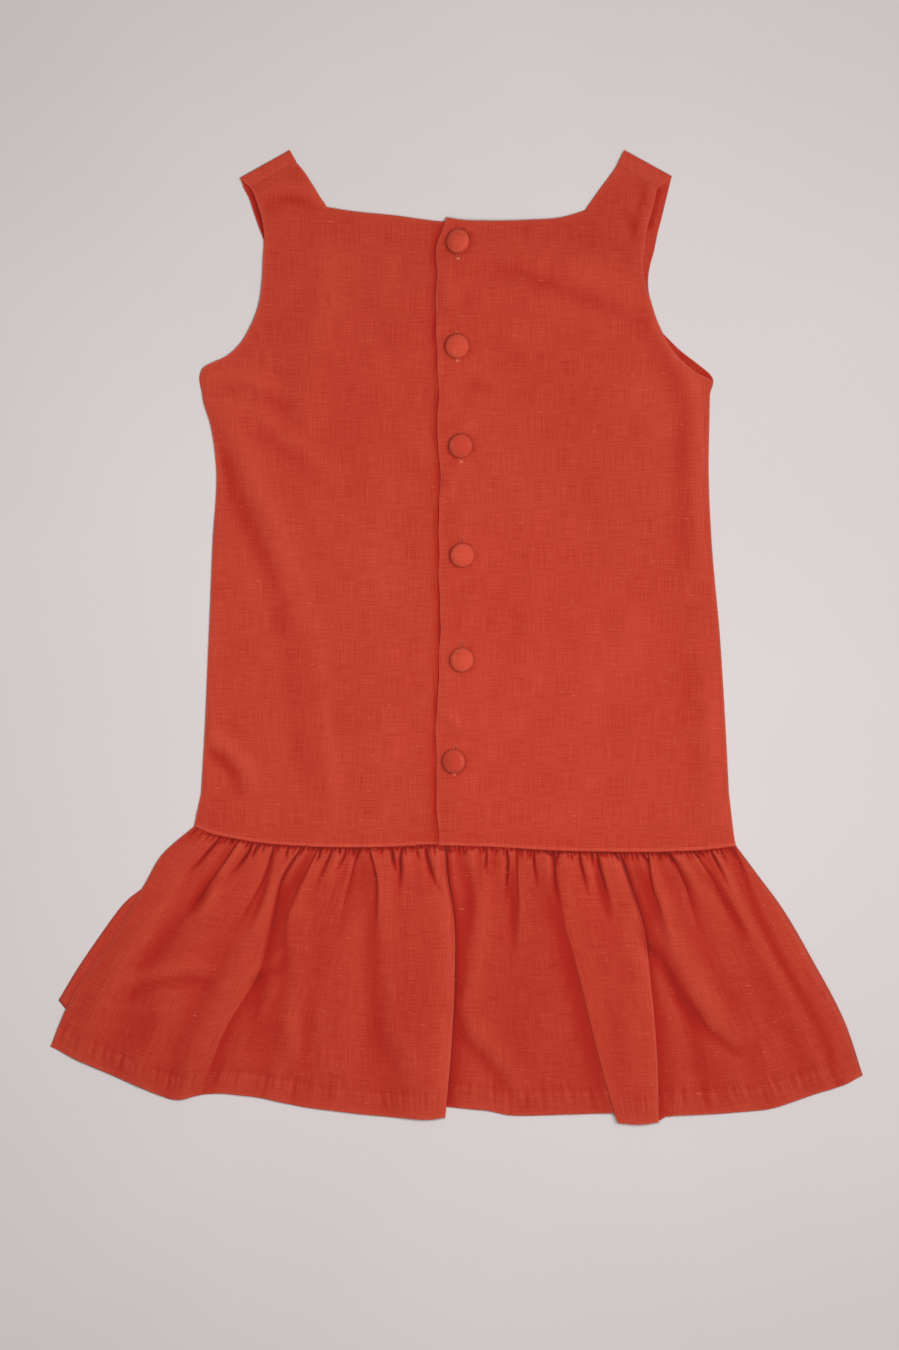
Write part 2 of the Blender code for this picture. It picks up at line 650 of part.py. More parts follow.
def button(number, place):
    """A cloth-covered button on a shank that comes up through the buttonhole."""
    name = f"button_{number}"
    mesh = bpy.data.meshes.new(name)
    outline = button_profile()
    edges = [(i, i + 1) for i in range(len(outline) - 1)]
    mesh.from_pydata([(x * MM, 0.0, z * MM) for x, z in outline], edges, [])
    piece = bpy.data.objects.new(name, mesh)
    parts.objects.link(piece)
    piece.data.materials.append(material(name, BUTTON_COLOUR, BUTTON_ROUGHNESS))
    turn = piece.modifiers.new("turn", "SCREW")
    turn.steps = BUTTON_STEPS
    turn.render_steps = BUTTON_STEPS
    turn.use_merge_vertices = True
    turn.merge_threshold = 0.00001
    lean, towards = math.radians(place.lean), math.radians(place.towards)
    base = LEVEL_LAP + WALL / 2 + GAP + BUTTON_FOOT * math.sin(lean)
    piece.location = (place.x * MM, place.y * MM, base * MM)
    piece.rotation_mode = "AXIS_ANGLE"
    piece.rotation_axis_angle = (lean, -math.sin(towards), math.cos(towards), 0.0)
    bottom = LEVEL_BACK + WALL / 2 + GAP
    top = base + SHANK_INSIDE
    length = (top - bottom) * MM
    bpy.ops.mesh.primitive_cylinder_add(vertices=SHANK_SIDES, radius=SHANK_RADIUS * MM, depth=length)
    shank = bpy.context.active_object
    as_cutter(shank, f"shank_{number}", (place.x, place.y, (top + bottom) / 2))
    joined = piece.modifiers.new("shank", "BOOLEAN")
    joined.operation = "UNION"
    joined.object = shank
    return piece


for leftover in list(bpy.data.objects):
    bpy.data.objects.remove(leftover)
parts = bpy.data.collections.new(COLLECTION)
cutters = bpy.data.collections.new("cutters")
for collection in (parts, cutters):
    bpy.context.scene.collection.children.link(collection)

front_bodice()
skirt_front()
back_left()
back_right()
skirt_back()
for count, spot in enumerate(BUTTONS, 1):
    button(count, spot)
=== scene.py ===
"""A child's sleeveless linen dress with a dropped waist, laid flat with its buttoned back up.

Lengths in the tables are in millimetres: X to the right, Y towards the shoulders, Z up from the
surface that the dress lies on.
"""

import math
import random
from collections import namedtuple

import bmesh
import bpy
import numpy as np
from mathutils import Matrix, Vector


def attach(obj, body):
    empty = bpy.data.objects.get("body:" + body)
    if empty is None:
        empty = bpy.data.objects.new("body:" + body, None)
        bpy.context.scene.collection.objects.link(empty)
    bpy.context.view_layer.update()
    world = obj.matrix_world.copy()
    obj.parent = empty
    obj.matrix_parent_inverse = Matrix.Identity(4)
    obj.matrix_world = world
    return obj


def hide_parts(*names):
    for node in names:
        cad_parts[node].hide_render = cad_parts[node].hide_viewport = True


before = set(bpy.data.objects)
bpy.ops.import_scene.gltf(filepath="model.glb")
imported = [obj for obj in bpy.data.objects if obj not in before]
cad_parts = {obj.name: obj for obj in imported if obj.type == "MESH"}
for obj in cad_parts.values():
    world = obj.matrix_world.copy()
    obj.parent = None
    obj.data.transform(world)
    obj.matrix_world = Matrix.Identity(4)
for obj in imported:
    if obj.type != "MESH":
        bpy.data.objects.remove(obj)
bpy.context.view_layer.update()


# The linen. Plain-woven flax dyed a coral red, with uneven yarns, a few pale slubs, and a paler,
# rubbed look where an edge or a fold has worn. Shade is painted into its colour too: darker and
# redder where the cloth lies low, lighter where it stands up. Every cloth piece and the buttons are
# made of it.

MM = 0.001
YARN_PITCH = 0.56
# The next two colours are painted shade: the darkest for the narrowest gaps, the other for hollows
# and creases
LINEN_PAINTED_PIT = (0.150, 0.0035, 0.0016, 1.0)
LINEN_PAINTED_SHADE = (0.375, 0.0100, 0.0040, 1.0)
LINEN_DARK = (0.378, 0.0162, 0.0056, 1.0)
LINEN_LIGHT = (0.581, 0.068, 0.0338, 1.0)
LINEN_SLUB = (0.80, 0.19, 0.105, 1.0)
LINEN_WORN = (0.72, 0.135, 0.082, 1.0)


class Socket:
    """A number in a material, which Python's own signs add to, take from and multiply."""

    def __init__(self, finish, link):
        self.finish, self.link = finish, link

    def reckon(self, operation, a, b):
        return self.finish.node("ShaderNodeMath", {"operation": operation}, {0: a, 1: b})

    def __add__(self, other):
        return self.reckon("ADD", self, other)

    def __radd__(self, other):
        return self.reckon("ADD", other, self)

    def __sub__(self, other):
        return self.reckon("SUBTRACT", self, other)

    def __rsub__(self, other):
        return self.reckon("SUBTRACT", other, self)

    def __mul__(self, other):
        return self.reckon("MULTIPLY", self, other)

    def __truediv__(self, other):
        return self.reckon("DIVIDE", self, other)

    def __pow__(self, other):
        return self.reckon("POWER", self, other)

    def __abs__(self):
        return self.reckon("ABSOLUTE", self, 0.0)

    def sine(self):
        return self.reckon("SINE", self, 0.0)

    def within(self, low, high):
        """How far the number is on its way from low to high, from 0 to 1."""
        ranged = {"From Min": low, "From Max": high}
        settings = {"interpolation_type": "SMOOTHSTEP"}
        return self.finish.node("ShaderNodeMapRange", settings, {"Value": self, **ranged})


class Finish:
    """A material in the making: its node tree and its shader."""

    def __init__(self, name, constants):
        self.material = bpy.data.materials.new(name)
        self.material.use_nodes = True
        self.tree = self.material.node_tree
        self.shader = self.tree.nodes["Principled BSDF"]
        for socket, value in constants.items():
            self.shader.inputs[socket].default_value = value

    def node(self, kind, settings=None, values=None, output=0):
        made = self.tree.nodes.new(kind)
        for name, value in (settings or {}).items():
            setattr(made, name, value)
        for socket, value in (values or {}).items():
            if isinstance(value, Socket):
                self.tree.links.new(value.link, made.inputs[socket])
            else:
                made.inputs[socket].default_value = value
        return Socket(self, made.outputs[output])

    def mix(self, share, a, b):
        """A colour between two others."""
        values = {0: share, 6: a, 7: b}
        return self.node("ShaderNodeMix", {"data_type": "RGBA"}, values, output=2)

    def in_millimetres(self, place):
        values = {0: place, "Scale": 1.0 / MM}
        return self.node("ShaderNodeVectorMath", {"operation": "SCALE"}, values)

    def object_place(self):
        """The place on the object itself, in millimetres."""
        return self.in_millimetres(self.node("ShaderNodeTexCoord", output=3))

    def attribute(self, name):
        """A number that the mesh's own corners hold."""
        return self.node("ShaderNodeAttribute", {"attribute_name": name}, output=2)

    def noise(self, place, stretch, detail=2.0, roughness=0.5, offset=(0.0, 0.0, 0.0)):
        """Noise over a place in millimetres, so many times to the millimetre along each axis."""
        values = {"Vector": place, "Scale": stretch, "Location": offset}
        moved = self.node("ShaderNodeMapping", {}, values)
        values = {"Vector": moved, "Scale": 1.0, "Detail": detail, "Roughness": roughness}
        return self.node("ShaderNodeTexNoise", {"noise_dimensions": "3D"}, values)

    def feed(self, socket, source):
        self.tree.links.new(source.link, self.shader.inputs[socket])

    def bump(self, height, distance, strength):
        values = {"Height": height, "Distance": distance, "Strength": strength}
        self.feed("Normal", self.node("ShaderNodeBump", {}, values))


def linen(name, dark=LINEN_DARK, light=LINEN_LIGHT, wear=0.5, gloss=0.25):
    """Linen whose weave follows the cut of the cloth. Painted shade makes it deeper in colour where
    the cloth lies low, and lighter where it stands up. It is paler where it is worn."""
    sheen = {"Sheen Weight": 0.08, "Sheen Roughness": 0.5, "Sheen Tint": (1.0, 0.62, 0.5, 1.0)}
    cloth = Finish(name, {"Specular IOR Level": gloss, **sheen})
    place = cloth.in_millimetres(cloth.node("ShaderNodeUVMap", {"uv_map": "cut"}))
    sway = cloth.noise(place, (0.35, 0.35, 0.35), detail=3.0)
    across = cloth.node("ShaderNodeSeparateXYZ", {}, {0: place})
    along = Socket(cloth, across.link.node.outputs[1])
    pick = (across / YARN_PITCH + sway * 1.1) * math.pi
    end = (along / YARN_PITCH - sway * 1.1) * math.pi
    crossing = pick.sine() * end.sine()
    knuckles = abs(crossing) ** 0.6
    weft = cloth.noise(place, (0.065, 1.8, 1.0), roughness=0.6)
    warp = cloth.noise(place, (1.7, 0.05, 1.0), roughness=0.6, offset=(31.0, 7.0, 0.0))
    grains = cloth.noise(place, (1.5, 1.5, 1.5), roughness=0.8)
    broad = cloth.noise(place, (0.016, 0.011, 0.015), detail=3.0)
    # Painted shade from the mesh: darker and redder where the cloth lies below its surroundings,
    # nearly black in the narrowest gaps, lighter on raised cloth
    painted_shade = cloth.attribute("painted_shade")
    shade = (weft - 0.5) + (warp - 0.5) * 0.95 + (grains - 0.5) * 1.15 - painted_shade * 0.4
    shade = shade + (broad - 0.5) * 0.4 + (knuckles - 0.62) * 0.22 + crossing * 0.05 + 0.5
    colour = cloth.mix(painted_shade.within(0.1, 1.15) * 0.85, cloth.mix(shade, dark, light), LINEN_PAINTED_SHADE)
    colour = cloth.mix(painted_shade.within(0.9, 2.2) * 0.9, colour, LINEN_PAINTED_PIT)
    slub = cloth.noise(place, (0.16, 1.45, 1.0), detail=1.0, offset=(5.0, 90.0, 3.0))
    colour = cloth.mix(slub.within(0.725, 0.79) * 0.6, colour, LINEN_SLUB)
    nub = cloth.noise(place, (1.5, 0.24, 1.0), detail=1.0, offset=(77.0, 13.0, 8.0))
    colour = cloth.mix(nub.within(0.75, 0.82) * 0.4, colour, LINEN_SLUB)
    worn = cloth.attribute("worn")
    rub = worn * (grains.within(0.3, 0.65) * 0.5 + 0.5) * wear
    cloth.feed("Base Color", cloth.mix(rub, colour, LINEN_WORN))
    cloth.feed("Roughness", 0.94 - knuckles * 0.1 - rub * 0.1)
    height = knuckles * 0.5 + (weft + warp) * 0.5 + slub.within(0.7, 0.8) * 0.5 + grains * 0.4
    cloth.bump(height, 0.00016, 0.75)
    return cloth.material


linen_finish = linen("coral_linen")


# The front bodice. One piece of linen with its two wide straps, lying face down. The ends of the
# straps come over the shoulders and are sewn to the back straps a little below the fold.

CLOTH = 0.5
FRONT_LEVEL = 0.5
BACK_LEVEL = 1.8
LAP_LEVEL = 3.1
SIDE_LOW = -97.0

# The cloth's rows of faces: how far apart, how far from an edge the nearest are, how far above the
# waist seam, and over what height the sides run out to the seam's ends
ROW_STEP = 2.6
EDGE_STEPS = (0.0, 0.35, 0.8, 1.5, 2.6, 4.2)
NECK_STEPS = EDGE_STEPS[:5]
SEAM_ROWS = (8.0, 6.6, 5.6, 4.8, 4.2, 3.7, 3.2, 2.6, 1.9, 1.2, 0.75, 0.4, 0.15)
EDGE_STITCH_ROW = SEAM_ROWS.index(2.6) - len(SEAM_ROWS)
SEAM_RUN = 26.0

Strap = namedtuple("Strap", "edge_x edge_y neck_x neck_y")
FRONT_LEFT_STRAP = (
    Strap(-134.2, 284.6, -103.4, 301.8),
    Strap(-132.0, 278.6, -101.0, 294.6),
    Strap(-128.6, 272.0, -95.2, 284.8),
    Strap(-126.0, 264.2, -90.0, 275.0),
    Strap(-122.9, 255.2, -86.0, 264.0),
)
FRONT_RIGHT_STRAP = (
    Strap(133.6, 285.5, 104.0, 301.8),
    Strap(131.4, 277.4, 100.8, 293.4),
    Strap(129.0, 267.4, 94.6, 282.0),
    Strap(126.8, 258.4, 88.8, 272.0),
    Strap(124.6, 250.0, 84.6, 262.0),
)
FRONT_LEFT_SEAM = Strap(-127.8, 278.6, -99.6, 295.2)
FRONT_RIGHT_SEAM = Strap(124.8, 278.4, 99.9, 293.6)

Front = namedtuple("Front", "left_x left_y left_neck_y right_neck_y right_x right_y")
FRONT_ARMHOLES = (
    Front(-119.2, 245.0, 252.0, 252.0, 122.6, 240.0),
    Front(-117.2, 232.0, 238.0, 238.0, 119.6, 228.6),
    Front(-117.8, 217.0, 221.0, 221.0, 118.9, 216.0),
    Front(-120.0, 204.0, 206.0, 206.0, 121.6, 203.0),
    Front(-125.2, 191.8, 193.0, 193.0, 125.2, 191.8),
    Front(-132.4, 180.2, 182.0, 182.0, 131.8, 184.4),
    Front(-141.6, 172.0, 173.0, 173.0, 140.2, 176.4),
    Front(-150.0, 168.0, 168.0, 168.0, 149.4, 169.4),
    Front(-158.0, 164.8, 162.0, 162.0, 158.0, 162.0),
)
FRONT_NECK_X = 83.0

# The lines along the back's edges beside which shade is painted on the front's cloth
SHADED_EDGES = (
    ((-126.5, 276.0), (-124.0, 268.0), (-121.5, 258.0), (-119.8, 246.0), (-119.4, 232.0)),
    ((125.0, 277.0), (121.3, 266.0), (119.6, 257.0), (118.0, 248.0)),
    ((156.0, 160.5), (149.5, 164.5), (141.5, 171.0), (136.0, 177.0)),
)

Level = namedtuple("Level", "y left_x right_x lap_x")
SIDES = (
    Level(150.0, -157.5, 157.0, -11.3),
    Level(131.0, -152.3, 156.6, -11.9),
    Level(105.0, -148.8, 156.2, -10.4),
    Level(60.0, -150.9, 158.0, -11.1),
    Level(0.0, -153.4, 163.2, -10.2),
    Level(-60.0, -156.0, 166.9, -12.6),
    Level(SIDE_LOW, -158.2, 168.8, -12.4),
)
WAIST_LEFT, WAIST_RIGHT, WAIST_LAP = -162.4, 173.0, -11.0

Point = namedtuple("Point", "x y")
WAIST = (
    Point(-162.6, -117.2),
    Point(-152.1, -121.6),
    Point(-139.9, -124.2),
    Point(-126.0, -126.8),
    Point(-105.2, -128.9),
    Point(-58.2, -130.2),
    Point(-8.4, -129.0),
    Point(24.3, -130.0),
    Point(59.3, -132.1),
    Point(94.2, -132.9),
    Point(129.0, -132.9),
    Point(155.1, -131.7),
    Point(173.3, -129.4),
)


def ease(share):
    """A smooth step from 0 to 1."""
    t = np.clip(share, 0.0, 1.0)
    return t * t * (3.0 - 2.0 * t)


def smooth(at, places, values):
    """A smooth line through a table's values, which lie at places along it."""
    at, places, values = (np.asarray(a, dtype=float) for a in (at, places, values))
    wide = (slice(None),) + (None,) * (values.ndim - 1)
    gaps = np.diff(places)
    slopes = np.diff(values, axis=0) / gaps[wide]
    before, after = gaps[:-1][wide], gaps[1:][wide]
    inner = (slopes[:-1] * after + slopes[1:] * before) / (before + after)
    tangents = np.concatenate([slopes[:1], inner, slopes[-1:]])
    k = np.clip(np.searchsorted(places, at, side="right") - 1, 0, len(gaps) - 1)
    t = np.clip((at - places[k]) / gaps[k], 0.0, 1.0)
    t = t.reshape(t.shape + (1,) * (values.ndim - 1))
    span = gaps[k].reshape(t.shape)
    start = values[k] * (1 + 2 * t) * (1 - t) ** 2 + values[k + 1] * t * t * (3 - 2 * t)
    turn = tangents[k] * t * (1 - t) ** 2 - tangents[k + 1] * t * t * (1 - t)
    return start + turn * span


def bell(distance, reach):
    """1 on a line, and fading to nothing on both its sides."""
    return np.exp(-((distance / reach) ** 2))


def waist_y(x):
    return smooth(x, *zip(*WAIST))


def from_line(line, x, y):
    """Each point's distance from a line, its side of it (+ is east of a line that runs down or
    north of one that runs right), and how far along the line it is."""
    line = np.asarray(line, dtype=float)
    lengths = np.hypot(*np.diff(line, axis=0).T)
    walked, total = 0.0, lengths.sum()
    nearest, side, along = np.full(x.shape, 1e6), np.zeros(x.shape), np.zeros(x.shape)
    for (ax, ay), (dx, dy), length in zip(line, np.diff(line, axis=0), lengths):
        t = np.clip(((x - ax) * dx + (y - ay) * dy) / length**2, 0.0, 1.0)
        distance = np.hypot(x - ax - t * dx, y - ay - t * dy)
        closer = distance < nearest
        nearest = np.where(closer, distance, nearest)
        side = np.where(closer, np.sign(dx * (y - ay) - dy * (x - ax)), side)
        along = np.where(closer, (walked + t * length) / total, along)
        walked += length
    return nearest, side, along


def soft_waves(x, y, size, seed):
    """The slight unevenness of washed cloth, about 1 high from trough to crest."""
    chance = random.Random(seed)
    total = np.zeros(np.shape(x))
    for _ in range(8):
        turn, length = chance.uniform(0.0, math.pi), size * chance.uniform(0.6, 1.7)
        phase = (x * math.cos(turn) + y * math.sin(turn)) / length + chance.random()
        total = total + np.sin(2 * math.pi * phase)
    return total / 5.0


def span(count, near=(), far=()):
    """The columns between two anchor points of a section: some at set distances from either end,
    the others evenly between. Each is a distance and a share of the section's length."""
    start, end = (near[-1] if near else 0.0), (far[0] if far else 0.0)
    columns = [(d, 0.0) for d in near]
    shares = [(i + 1) / (count + 1) for i in range(count)]
    columns += [(start - (start + end) * s, s) for s in shares]
    columns += [(-d, 1.0) for d in far]
    return np.array(columns)


def across_sections(anchors, spans):
    """Points across every section, through its anchor points."""
    columns = []
    for k, spacing in enumerate(spans):
        a, b = anchors[:, k, None], anchors[:, k + 1, None]
        length = np.linalg.norm(b - a, axis=2)
        share = (spacing[:, 0] + spacing[:, 1] * length) / length
        columns.append(a + (b - a) * share[..., None])
    return np.concatenate(columns, axis=1)


def bodice_points(table, feet, spans, first, wanted=()):
    """A bodice piece from its sections down to the waist seam. Returns its points, and the row
    where the neck edge begins."""
    steps = np.linalg.norm(np.diff(table[:, :2], axis=0), axis=2).mean(axis=1)
    stations = np.concatenate([[0.0], np.cumsum(steps)])
    neck = stations[first]
    fixed = [*EDGE_STEPS, *(neck + np.array(EDGE_STEPS)), stations[-1]]
    fixed += [float(np.interp(-y, -table[first:, -1, 1], stations[first:])) for y in wanted]
    even = np.linspace(0.0, stations[-1], int(stations[-1] / ROW_STEP))
    even = [s for s in even if min(abs(s - f) for f in fixed) > 0.4 * ROW_STEP]
    at = np.array(sorted({round(s, 4) for s in fixed + even}))
    points = across_sections(smooth(at, stations, table), spans)
    neck_row = int(np.argmin(abs(at - neck)))
    low = table[-1].copy()
    rows = [points]
    for share in np.linspace(0.0, 1.0, 9)[1:-1]:
        foot = low.copy()
        foot[:, 0] += (np.array(feet) - low[:, 0]) * share * (1.0 - SEAM_ROWS[0] / SEAM_RUN)
        row = across_sections(foot[None], spans)
        row[..., 1] += (waist_y(row[..., 0]) + SEAM_ROWS[0] - SIDE_LOW) * share
        rows.append(row)
    for above in SEAM_ROWS:
        foot = low.copy()
        foot[:, 0] += (np.array(feet) - low[:, 0]) * (1.0 - above / SEAM_RUN)
        row = across_sections(foot[None], spans)
        row[..., 1] = waist_y(row[..., 0]) + above
        rows.append(row)
    return np.concatenate(rows), neck_row


def depth_below(points, reach):
    """How far each point lies below the cloth round it, averaged over a reach."""
    known = ~np.isnan(points[..., 0])
    x, y, z = points[known].T
    step, margin = reach / 4, 10
    column = ((x - x.min()) / step).astype(int) + margin
    row = ((y - y.min()) / step).astype(int) + margin
    total = np.zeros((column.max() + margin + 1, row.max() + margin + 1))
    count = total.copy()
    np.add.at(total, (column, row), z)
    np.add.at(count, (column, row), 1.0)
    filled = (count > 0).astype(float)
    level = total / np.maximum(count, 1.0)
    weights = np.exp(-0.5 * (np.arange(-margin, margin + 1) / 4.0) ** 2)
    for axis in (0, 1):
        level = np.apply_along_axis(np.convolve, axis, level, weights, "same")
        filled = np.apply_along_axis(np.convolve, axis, filled, weights, "same")
    depth = np.zeros(points.shape[:2])
    depth[known] = (level / filled)[column, row] - z
    return depth


def lay_cloth(name, points, worn, painted_shade, cut=None, opened=(), thickness=CLOTH):
    """A piece of cloth: a grid of faces, each corner laid on its point, with places left out where
    there is no cloth. The weave follows the cut, which is the flat piece in millimetres."""
    down, across = points.shape[:2]
    cut = points[..., :2] if cut is None else cut
    shape = bmesh.new()
    flat = shape.loops.layers.uv.new("cut")
    rubbed = shape.verts.layers.float.new("worn")
    # The corners' painted shade, which the linen turns into darker or lighter colour
    shade_layer = shape.verts.layers.float.new("painted_shade")
    bmesh.ops.create_grid(shape, x_segments=across - 1, y_segments=down - 1, size=0.5)
    cells = {}
    for corner in shape.verts:
        row, column = (0.5 - corner.co.y) * (down - 1), (corner.co.x + 0.5) * (across - 1)
        cells[corner] = (round(row), round(column))
    for corner, cell in cells.items():
        corner[rubbed] = float(worn[cell])
        corner[shade_layer] = float(painted_shade[cell])
        corner.co = points[cell] * MM
    gone = set(opened)
    holes = [f for f in shape.faces if gone and min(cells[v] for v in f.verts) in gone]
    for face in shape.faces:
        for loop in face.loops:
            loop[flat].uv = cut[cells[loop.vert]] * MM
    bmesh.ops.delete(shape, geom=holes, context="FACES")
    bare = [v for v in shape.verts if math.isnan(v.co.x) or not v.link_faces]
    bmesh.ops.delete(shape, geom=bare, context="VERTS")
    return finish_piece(name, shape, linen_finish, thickness)


def finish_piece(name, shape, finish, thickness=0.0):
    """A finished mesh as a piece of the dress, with a wall where it is a sheet."""
    mesh = bpy.data.meshes.new(name)
    shape.to_mesh(mesh)
    shape.free()
    mesh.shade_smooth()
    mesh.materials.append(finish)
    piece = bpy.data.objects.new(name, mesh)
    bpy.context.scene.collection.objects.link(piece)
    if thickness:
        wall = piece.modifiers.new("cloth", "SOLIDIFY")
        wall.thickness = thickness * MM
        wall.offset = 0.0
        wall.use_even_offset = False
    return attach(piece, "root")


def shoulder_fold(strap, seam, spacing):
    """The rows of a front strap that turn over the shoulder, from the seam to the underside."""
    edge, neck = np.array(strap[:2]), np.array(strap[2:])
    along = (neck - edge) / np.linalg.norm(neck - edge)
    outward = np.array([-along[1], along[0]])
    outward = outward if outward[1] > 0 else -outward
    radius = (BACK_LEVEL - FRONT_LEVEL) / 2
    rows = []
    for share in (0.0, 0.05, 0.1, 0.2, 0.4, 0.6, 0.8):
        row = np.array([seam[:2], seam[2:]]) * (1 - share)
        row += np.array([edge - outward * 1.2, neck - outward * 1.2]) * share
        flat = across_sections(row[None], [spacing])[0]
        under = 1 - ease(share / 0.1)
        flat -= outward * 0.9 * under
        height = BACK_LEVEL - 0.06 - 0.55 * under
        rows.append(np.column_stack([flat, np.full(len(flat), height)]))
    for step in range(11):
        angle = math.pi / 2 - math.pi * step / 10
        out = outward * (radius * math.cos(angle) - radius - CLOTH / 2)
        flat = across_sections(np.array([edge + out, neck + out])[None], [spacing])[0]
        height = FRONT_LEVEL + radius * (1 + math.sin(angle))
        rows.append(np.column_stack([flat, np.full(len(flat), height)]))
    return np.array(rows)


strap_span = span(9, near=NECK_STEPS, far=NECK_STEPS[::-1])
middle_span = span(40)
sections = []
for left, right in zip(FRONT_LEFT_STRAP, FRONT_RIGHT_STRAP):
    sections.append([left[:2], left[2:], right[2:], right[:2]])
for s in FRONT_ARMHOLES:
    necks = [(-FRONT_NECK_X, s.left_neck_y), (FRONT_NECK_X, s.right_neck_y)]
    sections.append([(s.left_x, s.left_y), *necks, (s.right_x, s.right_y)])
for s in SIDES:
    xs = (s.left_x, -FRONT_NECK_X, FRONT_NECK_X, s.right_x)
    sections.append([(x, s.y) for x in xs])
far_strap_span = (strap_span * (-1.0, -1.0) + (0.0, 1.0))[::-1]
spans = [strap_span, middle_span, far_strap_span]
feet = (WAIST_LEFT, -FRONT_NECK_X, FRONT_NECK_X, WAIST_RIGHT)
flat, neck_row = bodice_points(np.array(sections)[1:], feet, spans, len(FRONT_LEFT_STRAP) - 1)
middle = slice(len(strap_span), len(strap_span) + len(middle_span))
flat[:neck_row, middle] = np.nan
heights = FRONT_LEVEL - 0.15 + 0.1 * soft_waves(flat[..., 0], flat[..., 1], 70.0, 11)
laid = np.dstack([flat, np.clip(heights, 0.27, 0.6)])
left_fold = shoulder_fold(FRONT_LEFT_STRAP[0], FRONT_LEFT_SEAM, strap_span)
right_fold = shoulder_fold(FRONT_RIGHT_STRAP[0], FRONT_RIGHT_SEAM, strap_span)
folds = np.full((len(left_fold), flat.shape[1], 3), np.nan)
folds[:, : middle.start] = left_fold
folds[:, middle.stop :] = right_fold[:, ::-1]
front_points = np.concatenate([folds, laid])
front_worn = np.zeros(front_points.shape[:2])
front_worn[: len(left_fold)] = 0.25
front_worn[10:15] = 0.6
front_worn[:, [0, 1, -2, -1]] = 0.8
# Painted shade where the front shows inside the armholes: darker on the left strap than the right,
# and darkest beside the back's edges. The shoulder folds get a little painted shade too.
low_armhole = 1.0 - ease((flat[..., 1] - 190.0) / 25.0)
armhole_shade = np.where(flat[..., 0] < 0.0, 0.6, 0.2 + 0.3 * low_armhole)
armhole_shade = armhole_shade * ease((flat[..., 1] - 156.0) / 6.0)
for line in SHADED_EDGES:
    beside, _, along = from_line(line, flat[..., 0], flat[..., 1])
    armhole_shade += bell(beside, 1.5) * ease((1.0 - along) / 0.3)
front_shade = np.concatenate([np.full(folds.shape[:2], 0.15), armhole_shade])
front_bodice = lay_cloth("front_bodice_cloth", front_points, front_worn, front_shade)
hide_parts("front_bodice")


# The front flounce. A wide strip of linen gathered to the front's waist, lying flat on the surface
# under the back flounce, so that only its left edge and its hem's corner show.

FRONT_FLOUNCE_LEFT = (
    Point(-162.0, -117.8),
    Point(-178.0, -136.0),
    Point(-192.2, -153.4),
    Point(-203.6, -162.6),
    Point(-213.6, -174.7),
    Point(-233.4, -203.2),
    Point(-246.6, -225.0),
)
FRONT_FLOUNCE_RIGHT = (
    Point(172.6, -129.8),
    Point(184.0, -148.0),
    Point(190.6, -158.0),
    Point(197.4, -168.0),
    Point(216.0, -200.0),
    Point(234.0, -236.0),
    Point(245.0, -264.0),
)
FRONT_HEM = (
    Point(-246.6, -225.0),
    Point(-236.0, -238.0),
    Point(-216.0, -257.0),
    Point(-184.0, -272.0),
    Point(-140.0, -277.0),
    Point(-60.0, -286.0),
    Point(60.0, -287.0),
    Point(160.0, -287.0),
    Point(214.0, -278.0),
    Point(245.0, -264.0),
)
FRONT_GATHERS = 44
FRONT_CUT_WIDTH, FRONT_CUT_DEPTH = 520.0, 160.0

share = np.linspace(0.0, 1.0, 60)[:, None]
across = np.linspace(0.0, 1.0, 6 * FRONT_GATHERS + 1)[None]
side_places = np.linspace(0.0, 1.0, len(FRONT_FLOUNCE_LEFT))
left = smooth(share[:, 0], side_places, np.array(FRONT_FLOUNCE_LEFT))[:, None]
right = smooth(share[:, 0], side_places, np.array(FRONT_FLOUNCE_RIGHT))[:, None]
spread = left + (right - left) * across[..., None]
top_ends = zip(FRONT_FLOUNCE_LEFT[0], FRONT_FLOUNCE_RIGHT[0])
top_x, top_line = (start + (end - start) * across for start, end in top_ends)
hem_ends = zip(FRONT_HEM[0], FRONT_HEM[-1])
hem_x, hem_line = (start + (end - start) * across for start, end in hem_ends)
top_sag = waist_y(top_x) - 0.15 - top_line
hem_sag = smooth(hem_x, *zip(*FRONT_HEM)) - hem_line
x, y = spread[..., 0], spread[..., 1] + top_sag + (hem_sag - top_sag) * share
sway = soft_waves(60.0 * share, 400.0 * across, 60.0, 21)
fold = 0.5 - 0.5 * np.cos(2 * math.pi * (FRONT_GATHERS * across + 0.25 * sway))
relief = 0.42 * fold * (1.0 - 0.6 * ease(share / 0.5)) * ease((1.0 - share) / 0.1)
to_side = np.minimum(across, 1.0 - across)
z = 0.3 + relief * ease(to_side / 0.02)
worn = 0.7 * np.exp(-to_side * 300.0) + 0.5 * np.exp(-(1.0 - share) * 100.0)
cut = np.dstack(np.broadcast_arrays(FRONT_CUT_WIDTH * across, -FRONT_CUT_DEPTH * share))
flounce_points = np.dstack([x, y, z])
# Painted shade: darker all over, and more in the gathers' hollows
painted_shade = 0.35 + 1.5 * depth_below(flounce_points, 7.0)
front_flounce = lay_cloth("front_flounce_cloth", flounce_points, worn, painted_shade, cut)
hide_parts("skirt_front")


# The left back. It carries the buttons and runs on under the lap of the right back. Its armhole and
# neck edges are turned under, and its side edge comes down to the front, where the two are sewn.

